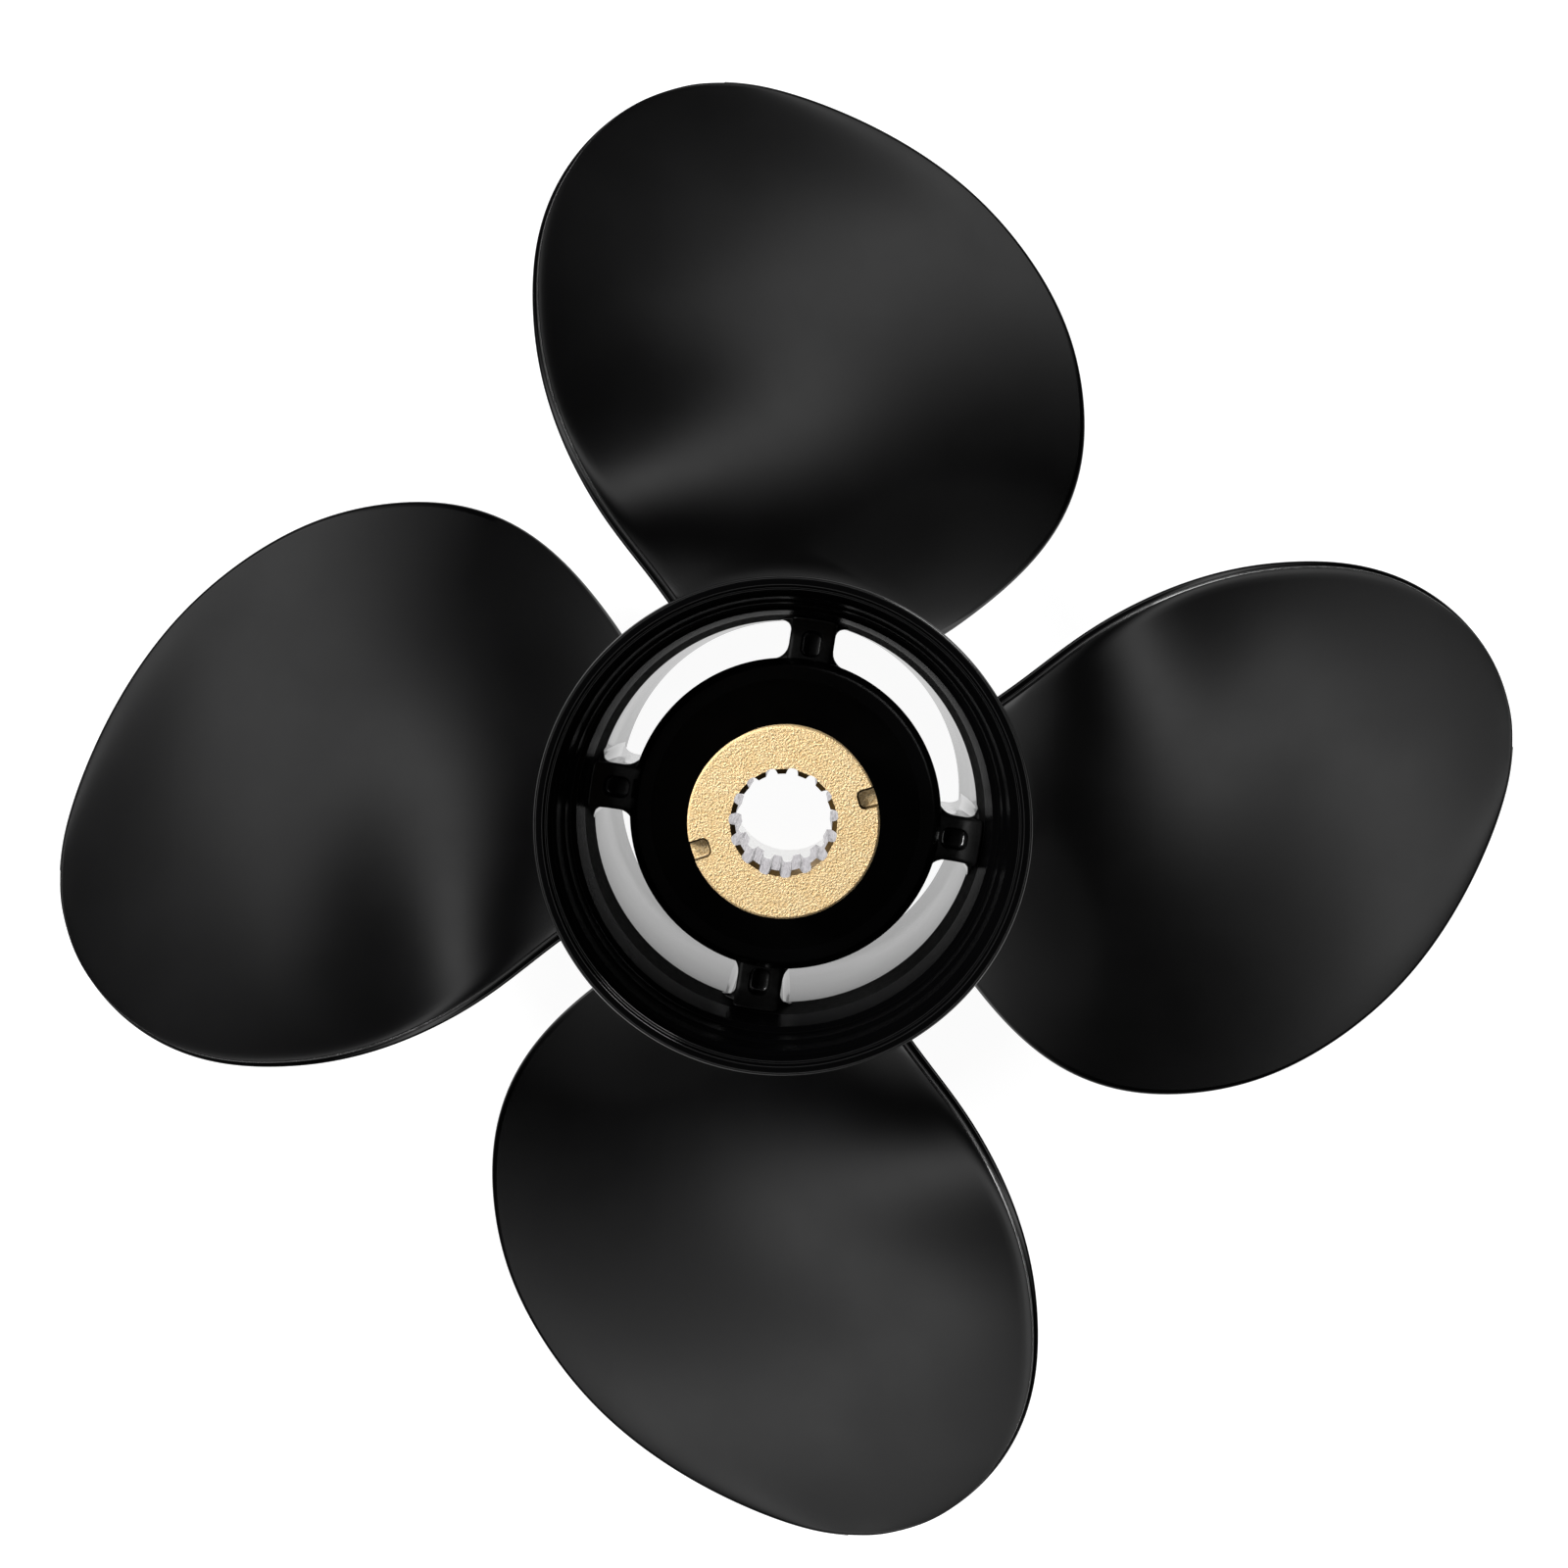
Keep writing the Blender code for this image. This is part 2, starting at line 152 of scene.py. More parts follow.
BLADE_OUTLINE = (
    # radius, leading edge angle, trailing edge angle
    (0.0540, 49.6, 118.2),
    (0.0575, 48.0, 118.8),
    (0.0620, 46.4, 119.3),
    (0.0720, 44.6, 120.4),
    (0.0840, 43.7, 121.3),
    (0.0980, 43.8, 121.2),
    (0.1120, 45.3, 120.2),
    (0.1260, 48.5, 118.5),
    (0.1400, 53.5, 116.2),
    (0.1520, 59.1, 113.8),
    (0.1630, 66.0, 110.9),
    (0.1720, 73.2, 107.7),
    (0.1790, 80.8, 104.3),
    (0.1832, 86.5, 101.4),
    (0.1854, 90.0, 99.0),
    (0.1865, 92.4, 97.2),
    (0.1869, 94.8, 94.8),
)
SECTION_RISE = 1.25
SECTION_SKEW = 1.15
SECTION_FULLNESS = 0.8
SECTION_THINNING = 0.45
EDGE_FILLET_SHARE = 0.28
EDGE_WIDTH_LIMIT = 0.2
TIP_NARROWING = 0.7
CROWDED_CHORD = 4.5
CUP_WIDTH = 0.0024
CUP_END_RADIUS = 0.1860
CUP_FADE = 0.0300
LEADING_BEVEL = 0.0012
SPAN_STEPS = 96
TENT = (
    # degrees from overhead, brightness: a ring of light at mid height, and a pale room near the horizon
    (90.0, 0.36),
    (85.0, 0.30),
    (80.0, 0.20),
    (75.0, 0.07),
    (70.0, 0.02),
    (65.0, 0.012),
    (60.0, 0.020),
    (55.0, 0.38),
    (50.0, 1.85),
    (47.0, 1.35),
    (44.0, 0.13),
    (41.0, 0.035),
    (35.0, 0.012),
    (0.0, 0.015),
)
FACE_SHAPE = (
    # radius, share of the full swell of the face, share of its lean towards the leading side
    (0.0600, 0.10, 1.40),
    (0.0850, 0.85, 0.55),
    (0.1100, 0.99, 0.06),
    (0.1350, 0.66, 0.12),
    (0.1600, 0.32, 0.10),
    (0.1850, 0.14, 0.16),
)
LAMPS = (
    # name and power, sides in metres, bearing and degrees from overhead, distance in metres, how the names
    # of the pieces start that it reaches, whether others block it, the kind of light that it leaves out
    ("low softbox", "key_power", (0.25, 0.5), 50.0, 78.0, 1.2, "outer_barrel_casting", True, "visible_diffuse"),
    ("soft fill", "fill_power", (0.3, 0.3), 150.0, 62.0, 1.2, "", True, "visible_glossy"),
    ("hub light", "hub_power", (0.9, 0.9), 160.0, 58.0, 1.2, "cast_rib", False, "visible_diffuse"),
    ("edge light", "edge_power", (0.6, 0.6), 40.0, 58.0, 1.2, "inner_barrel_casting", False, "visible_diffuse"),
    ("sleeve light", "sleeve_power", (0.10, 0.10), 125.0, 70.0, 0.6, "splined_brass", False, ""),
)
CAMERA_FOOT = (825.0, 710.0)
RIM_CENTRE = (798.9, 842.8)
TIP_START = 0.1700
CHORD_STEPS = 40
EDGE_DISTANCES = (0.0, 0.00012, 0.0003, 0.0006, 0.0011, 0.0020, 0.0034, 0.0052)
TRAILING_WIDTH = 0.75
TRAILING_SECTION = (
    # share of the edge's width inward from the outline, share of its height below the face
    (0.985, 0.004),
    (0.960, 0.018),
    (0.950, 0.040),
    (0.720, 0.560),
    (0.690, 0.620),
    (0.620, 0.650),
    (0.280, 0.760),
    (0.100, 0.820),
    (0.020, 0.900),
    (0.040, 0.975),
)
STEP_WALL = 3
EDGE_COLUMNS = 5
SPLINE_SCOOP = (
    # distance from the middle of the gap as a share of the tooth pitch, depth as a share of the tooth
    (0.300, 0.00),
    (0.275, 0.25),
    (0.250, 0.50),
    (0.222, 0.72),
    (0.185, 0.87),
    (0.135, 0.96),
    (0.070, 0.99),
    (0.000, 1.00),
)


def from_rim(depth):
    return BARREL_LENGTH - depth


def linear(hex_colour):
    """An sRGB hex colour as linear values."""
    parts = [int(hex_colour[start:start + 2], 16) / 255 for start in (1, 3, 5)]
    return tuple(part / 12.92 if part <= 0.04045 else ((part + 0.055) / 1.055) ** 2.4 for part in parts)


class PropellerSizes(bpy.types.PropertyGroup):
    """Sizes that a maker would change."""
    root_thickness: FloatProperty(
        name="Root Thickness", description="Blade thickness at the barrel",
        default=0.0090, min=0.004, max=0.014, unit='LENGTH')
    tip_thickness: FloatProperty(
        name="Tip Thickness", description="Blade thickness near the tip",
        default=0.0034, min=0.001, max=0.006, unit='LENGTH')
    trailing_thickness: FloatProperty(
        name="Trailing Edge", description="Thickness of the trailing edge",
        default=0.0034, min=0.001, max=0.006, unit='LENGTH')
    leading_thickness: FloatProperty(
        name="Leading Edge", description="Thickness of the leading edge",
        default=0.0018, min=0.0005, max=0.004, unit='LENGTH')
    cup_height: FloatProperty(
        name="Cup", description="How far the trailing edge curls aft",
        default=0.00016, min=0.0, max=0.004, unit='LENGTH')
    swell: FloatProperty(
        name="Swell", description="Height of the face's swell as a share of the chord",
        default=0.045, min=0.0, max=0.08)
    fillet: FloatProperty(
        name="Root Fillet", description="Fillet between blade and barrel",
        default=0.0120, min=0.002, max=0.016, unit='LENGTH')


class PropellerFinish(bpy.types.PropertyGroup):
    """Colours and gloss of the finishes."""
    paint: FloatVectorProperty(
        name="Paint", description="Colour of the enamel", subtype='COLOR', size=3,
        default=linear("#030303"), min=0.0, max=1.0)
    paint_roughness: FloatProperty(
        name="Paint Roughness", description="Roughness of the enamel",
        default=0.20, min=0.0, max=1.0, subtype='FACTOR')
    brass: FloatVectorProperty(
        name="Brass", description="Colour of the cast brass", subtype='COLOR', size=3,
        default=linear("#FFEBC0"), min=0.0, max=1.0)
    rubber: FloatVectorProperty(
        name="Rubber", description="Colour of the bushing", subtype='COLOR', size=3,
        default=linear("#040404"), min=0.0, max=1.0)


class PropellerStage(bpy.types.PropertyGroup):
    """Camera, floor and light."""
    focal_pixels: FloatProperty(
        name="Focal Length", description="Focal length in pixels of a frame 1600 pixels wide",
        default=1520.0, min=300.0, max=6000.0)
    camera_height: FloatProperty(
        name="Camera Height", description="Height of the camera above the aft rim",
        default=0.331, min=0.1, max=3.0, unit='LENGTH')
    key_power: FloatProperty(
        name="Key Light", description="Power of the low softbox that draws the rim's bright lines, in watts",
        default=4.7, min=0.0, max=200.0)
    fill_power: FloatProperty(
        name="Fill Light", description="Power of the soft light on the brass, in watts",
        default=19.0, min=0.0, max=200.0)
    hub_power: FloatProperty(
        name="Hub Light", description="Power of the light that glints in the ribs' pockets, in watts",
        default=110.0, min=0.0, max=200.0)
    edge_power: FloatProperty(
        name="Edge Light", description="Power of the light that draws the inner barrel's edge, in watts",
        default=12.0, min=0.0, max=200.0)
    sleeve_power: FloatProperty(
        name="Sleeve Light", description="Power of the low light that brings out the brass's grain, in watts",
        default=4.2, min=0.0, max=200.0)


def add_node(tree, kind, settings=None, inputs=None):
    """Add one node; a tuple (node, output) as an input makes a link, anything else sets the socket."""
    node = tree.nodes.new(kind)
    for name, value in (settings or {}).items():
        setattr(node, name, value)
    for name, value in (inputs or {}).items():
        if isinstance(value, tuple) and isinstance(value[0], bpy.types.Node):
            tree.links.new(value[0].outputs[value[1]], node.inputs[name])
        else:
            node.inputs[name].default_value = value
    return node


def start_material(name):
    material = bpy.data.materials.new(name)
    material.use_nodes = True
    tree = material.node_tree
    shader = tree.nodes["Principled BSDF"]
    place = add_node(tree, "ShaderNodeTexCoord")
    return material, tree, shader, place


def ranged(tree, noise, low, high, first=0.3, last=0.7):
    """The noise's middle stretched to run from low to high."""
    return add_node(tree, "ShaderNodeMapRange", inputs={
        "Value": (noise, "Fac"), "From Min": first, "From Max": last, "To Min": low, "To Max": high})


def worked_finish(name, spread, tints, gloss, grain=None, depth=0.0, strength=1.0, stretch=None,
                  sockets=None):
    """A material whose tint and gloss follow one noise, the spread, and its relief the same or a finer one.

    A noise is its size in millimetres, detail and roughness. The gloss is one roughness or a pair.
    """
    material, tree, shader, place = start_material(name)
    where = (place, "Object")
    if stretch:
        where = (add_node(tree, "ShaderNodeMapping", inputs={"Vector": where, "Scale": stretch}), "Vector")
    noises = []
    for size, detail, rough in (spread, grain) if grain else (spread,):
        noises.append(add_node(tree, "ShaderNodeTexNoise", inputs={
            "Vector": where, "Scale": 1.0 / (size * MILLIMETRE), "Detail": detail, "Roughness": rough}))
    tint = add_node(tree, "ShaderNodeMix", {"data_type": 'RGBA'}, {
        "Factor": (noises[0], "Fac"), "A": (*tints[0], 1.0), "B": (*tints[1], 1.0)})
    tree.links.new(tint.outputs["Result"], shader.inputs["Base Color"])
    if isinstance(gloss, tuple):
        tree.links.new(ranged(tree, noises[0], *gloss).outputs["Result"], shader.inputs["Roughness"])
    else:
        shader.inputs["Roughness"].default_value = gloss
    if depth:
        bump = add_node(tree, "ShaderNodeBump", inputs={
            "Strength": strength, "Distance": depth * MILLIMETRE, "Height": (noises[-1], "Fac")})
        tree.links.new(bump.outputs["Normal"], shader.inputs["Normal"])
    for socket, value in (sockets or {}).items():
        shader.inputs[socket].default_value = value
    return material


ENAMELS = {
    # real finish, size and depth of its peel in millimetres, roughness or none for the panel's, reflectance
    # Smooth, with a soft-edged reflection and a faint orange peel.
    "paint": ("sprayed black enamel on ground aluminium", 3.0, 0.003, None, 0.5),
    # Run together along the blades' edges: glossier, so it draws thin bright lines.
    "edge": ("run black enamel along the edge", 3.0, 0.002, 0.07, 0.5),
    # On the hub's cast skin the sand's grain shows through and breaks up the bright lines.
    "grainy": ("sprayed black enamel on sand-cast aluminium", 1.1, 0.016, None, 0.5),
    # Glossy on the round edges of the rings inside the flare, so the lines on them stay thin.
    "rings": ("gloss black enamel on ring edges", 1.1, 0.006, 0.12, 0.5),
    # Thin and satin on the rings' flats: a dark grey that the light hardly reaches.
    "flats": ("thin black enamel on ring flats", 1.2, 0.020, 0.26, 0.02),
    # Run smooth on the ribs' sides: at a slant it shows the light table nearly as bright as it is.
    "sides": ("smooth black enamel on rib sides", 4.0, 0.003, 0.10, 0.5),
    # Run smooth in the exhaust passages: the light table shows in it as an even grey.
    "passage": ("smooth black enamel in cast passages", 4.0, 0.004, 0.14, 0.06),
}


def black_enamel(finish, name, peel_size, peel_depth, roughness, reflectance):
    """Black enamel whose gloss and peel wander a little from place to place."""
    gloss = finish.paint_roughness if roughness is None else roughness
    return worked_finish(name, (28.0, 3.0, 0.55), (finish.paint, linear("#050506")),
                         (gloss * 0.92, gloss * 1.08), (peel_size, 3.0, 0.55), peel_depth,
                         sockets={"IOR": 1.5, "Specular IOR Level": reflectance})


def painted_highlight_metal(finish):
    """Bright metal on the wall of the trailing edge's step: a painted highlight that draws the thin bright line
    along the edge.
    """
    return worked_finish("ground aluminium", (2.5, 3.0, 0.6), (linear("#DADADA"), linear("#F4F4F4")),
                         (0.12, 0.22), sockets={"Metallic": 1.0})


def dull_black_enamel(finish):
    """Overspray on rough cast skin beside the windows and on the ribs: dull, so it stays dark at a slant."""
    return worked_finish("black overspray on rough cast skin", (1.3, 4.0, 0.6),
                         (finish.paint, linear("#161616")), (0.45, 0.6), depth=0.05,
                         sockets={"IOR": 1.5, "Specular IOR Level": 0.02})


def moulded_rubber(finish):
    """Moulded black rubber: a dull satin face with a fine grain and a few paler scuffs."""
    return worked_finish("moulded black rubber", (9.0, 3.0, 0.6), (finish.rubber, linear("#060606")),
                         (0.34, 0.46), (0.8, 4.0, 0.6), depth=0.05, strength=0.25,
                         sockets={"IOR": 1.52, "Specular IOR Level": 0.15})


def sand_cast_brass(finish):
    """Sand-cast brass: a bright yellow face with a fine grain and brown specks in its pits."""
    material, tree, shader, place = start_material("sand-cast brass")
    grain = add_node(tree, "ShaderNodeTexNoise", inputs={
        "Vector": (place, "Object"), "Scale": 1.0 / (0.50 * MILLIMETRE), "Detail": 3.0, "Roughness": 0.6})
    broad = add_node(tree, "ShaderNodeTexNoise", inputs={
        "Vector": (place, "Object"), "Scale": 1.0 / (6.0 * MILLIMETRE), "Detail": 2.0, "Roughness": 0.5})
    shade = ranged(tree, grain, 0.0, 1.0)
    tint = add_node(tree, "ShaderNodeMix", {"data_type": 'RGBA'}, {
        "Factor": (shade, "Result"), "A": (*linear("#E8C38A"), 1.0), "B": (*finish.brass, 1.0)})
    warm = add_node(tree, "ShaderNodeMix", {"data_type": 'RGBA', "blend_type": 'MULTIPLY'}, {
        "Factor": (broad, "Fac"), "A": (tint, "Result"), "B": (*linear("#FBF0DC"), 1.0)})
    bump = add_node(tree, "ShaderNodeBump", inputs={
        "Strength": 1.0, "Distance": 0.62 * MILLIMETRE, "Height": (grain, "Fac")})
    tree.links.new(warm.outputs["Result"], shader.inputs["Base Color"])
    tree.links.new(bump.outputs["Normal"], shader.inputs["Normal"])
    shader.inputs["Metallic"].default_value = 0.3
    shader.inputs["Roughness"].default_value = 0.42
    return material


def broached_brass_painted_sheen(finish):
    """Broached brass: smooth walls with fine drag lines along the cut, coloured a pale lilac grey in place of
    brass yellow: the light table's reflection at a slant painted in.
    """
    return worked_finish("broached brass", (0.35, 2.0, 0.5), (linear("#9C949B"), linear("#C4BDC6")),
                         (0.16, 0.30), depth=0.02, strength=0.2, stretch=(1.0, 1.0, 0.04),
                         sockets={"Metallic": 1.0})


def turned_brass_painted_white(finish):
    """Turned brass painted almost white: the relief behind the teeth, with the light table's reflection painted
    into its colour.
    """
    return worked_finish("turned brass", (0.25, 2.0, 0.5), (linear("#FBFAF8"), linear("#FFFFFF")),
                         0.08, depth=0.002, stretch=(0.05, 0.05, 1.0), sockets={"Metallic": 1.0})


def cut_brass_painted_shade(finish):
    """Cut brass painted dark brown as shade: the chamfers at the mouth of the bore and the walls of the
    notches.
    """
    return worked_finish("tarnished cut brass", (0.7, 3.0, 0.6), (linear("#2A200E"), linear("#5E4824")),
                         0.40, depth=0.02, sockets={"Metallic": 0.4})


def finish_material(key):
    """The finish of this name, made the first time that it is asked for."""
    makers = {
        "highlight_metal": painted_highlight_metal,
        "dull": dull_black_enamel,
        "rubber": moulded_rubber,
        "cast": sand_cast_brass,
        "broached_sheen": broached_brass_painted_sheen,
        "painted_shade": cut_brass_painted_shade,
        "turned": turned_brass_painted_white,
    }
    scene = bpy.context.scene
    made = scene.get("propeller_" + key)
    if made and made in bpy.data.materials:
        return bpy.data.materials[made]
    finish = scene.propeller_finish
    material = black_enamel(finish, *ENAMELS[key]) if key in ENAMELS else makers[key](finish)
    scene["propeller_" + key] = material.name
    return material


def add_piece(name, mesh, materials, replaced, turn=0.0):
    """Show a mesh in place of a node of the solids, turned about the shaft axis by so many degrees."""
    piece = bpy.data.objects.new(name, mesh)
    bpy.context.scene.collection.objects.link(piece)
    for material in materials:
        if material.name not in [held.name for held in mesh.materials if held]:
            mesh.materials.append(material)
    piece.rotation_euler.z = math.radians(turn)
    bpy.context.view_layer.update()
    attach(piece, "root")
    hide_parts(replaced)
    return piece


def settle_shading(work, smooth_degrees):
    """Turn the faces outward and shade them smooth, with sharp edges where they meet at a wider angle."""
    bmesh.ops.recalc_face_normals(work, faces=work.faces)
    limit = math.radians(smooth_degrees)
    for face in work.faces:
        face.smooth = True
    for edge in work.edges:
        edge.smooth = len(edge.link_faces) != 2 or edge.calc_face_angle(0.0) <= limit


def mesh_of(name, points, faces, smooth_degrees, kinds=None, weld=FINE_WELD):
    mesh = bpy.data.meshes.new(name)
    mesh.from_pydata([tuple(point) for point in points], [], faces)
    if kinds:
        mesh.polygons.foreach_set("material_index", kinds)
    work = bmesh.new()
    work.from_mesh(mesh)
    bmesh.ops.remove_doubles(work, verts=work.verts, dist=weld)
    bmesh.ops.dissolve_degenerate(work, edges=work.edges, dist=1e-7)
    settle_shading(work, smooth_degrees)
    work.to_mesh(mesh)
    work.free()
    return mesh


def stitched(name, loops, smooth_degrees, column_kinds=None, weld=FINE_WELD):
    """A closed skin through loops of points that all have the same count, closed across at both ends."""
    count = len(loops[0])
    faces = []
    for row in range(len(loops) - 1):
        low = row * count
        for index in range(count):
            after = (index + 1) % count
            faces.append((low + index, low + after, low + count + after, low + count + index))
    sides = len(faces)
    for first in (0, (len(loops) - 1) * count):
        for step in range((count - 1) // 2):
            corners = (first + step, first + step + 1, first + count - 2 - step, first + count - 1 - step)
            faces.append(tuple(dict.fromkeys(corners)))
    kinds = list(column_kinds) * (len(loops) - 1) + [0] * (len(faces) - sides) if column_kinds else None
    return mesh_of(name, [point for loop in loops for point in loop], faces, smooth_degrees, kinds, weld)


def rounded_outline(length, width, corner, steps=6):
    """A rectangle with round corners about the origin, as (x, y) points."""
    points = []
    for across, up, start in ((1, 1, 0.0), (-1, 1, 90.0), (-1, -1, 180.0), (1, -1, 270.0)):
        for step in range(steps + 1):
            turn = math.radians(start + 90.0 * step / steps)
            points.append((across * (length / 2 - corner) + corner * math.cos(turn),
                           up * (width / 2 - corner) + corner * math.sin(turn)))
    return points


def cutter(name, middle, angle, length, width, corner, floor, top, draft, kind):
    """A plug with round corners, its walls rounded into its floor; kind is the walls' material index."""
    loops = []
    levels = [(floor + draft * (1.0 - math.cos(turn)), draft * (1.0 - math.sin(turn)))
              for turn in np.linspace(0.0, math.pi / 2, 7)]
    for height, inset in levels + [(top, 0.0)]:
        loop = []
        for x, y in rounded_outline(length - 2 * inset, width - 2 * inset, max(corner - inset, 0.0002)):
            along = middle + x
            loop.append((along * math.cos(angle) - y * math.sin(angle),
                         along * math.sin(angle) + y * math.cos(angle), height))
        loops.append(loop)
    mesh = stitched(name, loops, POCKET_CREASE)
    for face in mesh.polygons:
        face.material_index = 0 if abs(face.normal.z) > 0.9 else kind
    return mesh


def carved(mesh, cutters, smooth_degrees):
    """The mesh with the plugs cut out of it."""
    body = bpy.data.objects.new("body", mesh)
    bpy.context.scene.collection.objects.link(body)
    helpers = [body]
    for plug_mesh in cutters:
        plug = bpy.data.objects.new("plug", plug_mesh)
        bpy.context.scene.collection.objects.link(plug)
        helpers.append(plug)
        cut = body.modifiers.new("cut", 'BOOLEAN')
        cut.operation = 'DIFFERENCE'
        cut.solver = 'EXACT'
        cut.object = plug
    bpy.context.view_layer.update()
    result = bpy.data.meshes.new_from_object(body.evaluated_get(bpy.context.evaluated_depsgraph_get()))
    result.name = mesh.name
    for helper in helpers:
        bpy.data.objects.remove(helper)
    work = bmesh.new()
    work.from_mesh(result)
    settle_shading(work, smooth_degrees)
    work.to_mesh(result)
    work.free()
    return result


def rounded(profile, steps=5):
    """Round the corners of a closed (radius, height, corner radius) profile."""
    points = []
    count = len(profile)
    for index in range(count):
        here = np.array(profile[index][:2])
        size = profile[index][2]
        before = np.array(profile[index - 1][:2]) - here
        after = np.array(profile[(index + 1) % count][:2]) - here
        length_before = np.linalg.norm(before)
        length_after = np.linalg.norm(after)
        before = before / length_before
        after = after / length_after
        turn = math.acos(max(-1.0, min(1.0, float(before @ after))))
        if size <= 0.0 or turn > math.radians(175.0):
            points.append(tuple(here))
            continue
        reach = min(size / math.tan(turn / 2), 0.48 * length_before, 0.48 * length_after)
        radius = reach * math.tan(turn / 2)
        middle = here + (before + after) / np.linalg.norm(before + after) * (radius / math.sin(turn / 2))
        first = here + before * reach - middle
        last = here + after * reach - middle
        for step in range(steps + 1):
            share = step / steps
            swing = math.pi - turn
            blend = first * math.sin((1 - share) * swing) + last * math.sin(share * swing)
            points.append(tuple(middle + blend / math.sin(swing)))
    return points


def turned(name, profile, sides):
    """Spin a closed profile of (radius, height) points about the shaft axis."""
    work = bmesh.new()
    ring = [work.verts.new((radius, 0.0, height)) for radius, height in profile]
    edges = [work.edges.new((ring[index - 1], ring[index])) for index in range(len(ring))]
    bmesh.ops.spin(work, geom=ring + edges, axis=(0.0, 0.0, 1.0), cent=(0.0, 0.0, 0.0),
                   angle=2.0 * math.pi, steps=sides, use_merge=True)
    bmesh.ops.remove_doubles(work, verts=work.verts, dist=1e-7)
    settle_shading(work, TURNED_CREASE)
    mesh = bpy.data.meshes.new(name)
    work.to_mesh(mesh)
    work.free()
    return mesh


def passage_radius(height):
    share = min(height / from_rim(RIB_PLANE_DEPTH), 1.0)
    return PASSAGE_FORWARD_RADIUS + share * (PASSAGE_AFT_RADIUS - PASSAGE_FORWARD_RADIUS)


def outer_barrel_profile():
    return rounded((
        (PASSAGE_FORWARD_RADIUS, 0.0, 0.0005),
        (BARREL_RADIUS, 0.0, 0.0008),
        (BARREL_RADIUS, from_rim(RIM_DEPTH), 0.0200),
        (RIM_RADIUS, from_rim(0.0026), 0.0040),
        (RIM_RADIUS, from_rim(0.0), 0.0012),
        (0.0535, from_rim(0.0), 0.0005),
        (0.0532, from_rim(0.0013), 0.0003),
        (0.0526, from_rim(0.0014), 0.0004),
        (0.0522, from_rim(0.0050), 0.0010),
        (0.0514, from_rim(0.0062), 0.0005),
        (0.0511, from_rim(0.0120), 0.0010),
        (0.0505, from_rim(0.0130), 0.0004),
        (0.0503, from_rim(0.0190), 0.0010),
        (0.0491, from_rim(0.0204), 0.0006),
        (0.0487, from_rim(0.0320), 0.0020),
        (PASSAGE_AFT_RADIUS, from_rim(RIB_PLANE_DEPTH), 0.0060),
    ))


def inner_barrel_profile():
    aft = from_rim(INNER_AFT_DEPTH)
    return rounded((
        (INNER_BARREL_BORE, INNER_FORWARD_HEIGHT, 0.0006),
        (INNER_BARREL_RADIUS, INNER_FORWARD_HEIGHT, 0.0012),
        (INNER_BARREL_RADIUS, aft - 0.0028, 0.0020),
        (INNER_BARREL_RADIUS - 0.0018, aft, 0.0012),
        (INNER_BARREL_BORE, aft, 0.0),
    ))


def section_thickness(share, radius, sizes):
    """The blade's thickness at a share of the way from its leading to its trailing edge."""
    along = (radius - BARREL_RADIUS) / (BLADE_OUTLINE[-1][0] - BARREL_RADIUS)
    along = np.clip(along, 0.0, 1.0)
    taper = np.minimum(along * SECTION_RISE, 1.0)
    full = sizes.root_thickness + (sizes.tip_thickness - sizes.root_thickness) * taper
    swell = np.sin(np.pi * share ** SECTION_SKEW) ** SECTION_FULLNESS
    edge = sizes.leading_thickness + (sizes.trailing_thickness - sizes.leading_thickness) * share
    thin = 1.0 - SECTION_THINNING * along
    return (edge + np.maximum(full - edge, 0.0) * swell) * thin


def smooth_line(knots, values, wanted):
    """A natural cubic through the knots, evaluated at the wanted places."""
    count = len(knots)
    step = np.diff(knots)
    matrix = np.eye(count)
    side = np.zeros(count)
    for index in range(1, count - 1):
        matrix[index, index - 1] = step[index - 1]
        matrix[index, index] = 2 * (step[index - 1] + step[index])
        matrix[index, index + 1] = step[index]
        side[index] = 6 * ((values[index + 1] - values[index]) / step[index]
                           - (values[index] - values[index - 1]) / step[index - 1])
    bend = np.linalg.solve(matrix, side)
    place = np.clip(np.searchsorted(knots, wanted) - 1, 0, count - 2)
    left = wanted - knots[place]
    right = knots[place + 1] - wanted
    gap = step[place]
    return (bend[place] * right ** 3 / (6 * gap) + bend[place + 1] * left ** 3 / (6 * gap)
            + (values[place] / gap - bend[place] * gap / 6) * right
            + (values[place + 1] / gap - bend[place + 1] * gap / 6) * left)


def blade_edges():
    """Both edges as (radius, angle) points, evenly spaced from root to tip along one smooth outline."""
    rows = [(radius, lead) for radius, lead, _ in BLADE_OUTLINE]
    rows += [(radius, trail) for radius, _, trail in reversed(BLADE_OUTLINE[:-1])]
    flat = np.array([(radius * math.cos(math.radians(angle)), radius * math.sin(math.radians(angle)))
                     for radius, angle in rows])
    knots = np.concatenate([[0.0], np.cumsum(np.linalg.norm(np.diff(flat, axis=0), axis=1))])
    tip = knots[len(BLADE_OUTLINE) - 1]
    shares = np.linspace(0.0, 1.0, SPAN_STEPS + 1)
    edges = []
    for spots in (tip * shares, knots[-1] + (tip - knots[-1]) * shares):
        across = smooth_line(knots, flat[:, 0], spots)
        up = smooth_line(knots, flat[:, 1], spots)
        edges.append((np.hypot(across, up), np.unwrap(np.arctan2(up, across))))
    return edges


def chord_shares(length):
    """Places across one line of the blade, close together near both edges."""
    near = np.array(EDGE_DISTANCES)
    if length < CROWDED_CHORD * near[-1]:
        near = near * (length / (CROWDED_CHORD * near[-1]))
    start = near / length if length > 1e-9 else np.linspace(0.0, 0.2, len(near))
    middle = np.linspace(start[-1], 1.0 - start[-1], CHORD_STEPS - 2 * len(near) + 3)[1:-1]
    return np.concatenate([start, middle, 1.0 - start[::-1]])


def fillet_offset(above, reach):
    """How far a quarter-round fillet stands off the blade at a height above the barrel."""
    left = np.clip(reach - np.maximum(above, 0.0), 0.0, None)
    return reach - np.sqrt(np.maximum(reach ** 2 - left ** 2, 0.0))


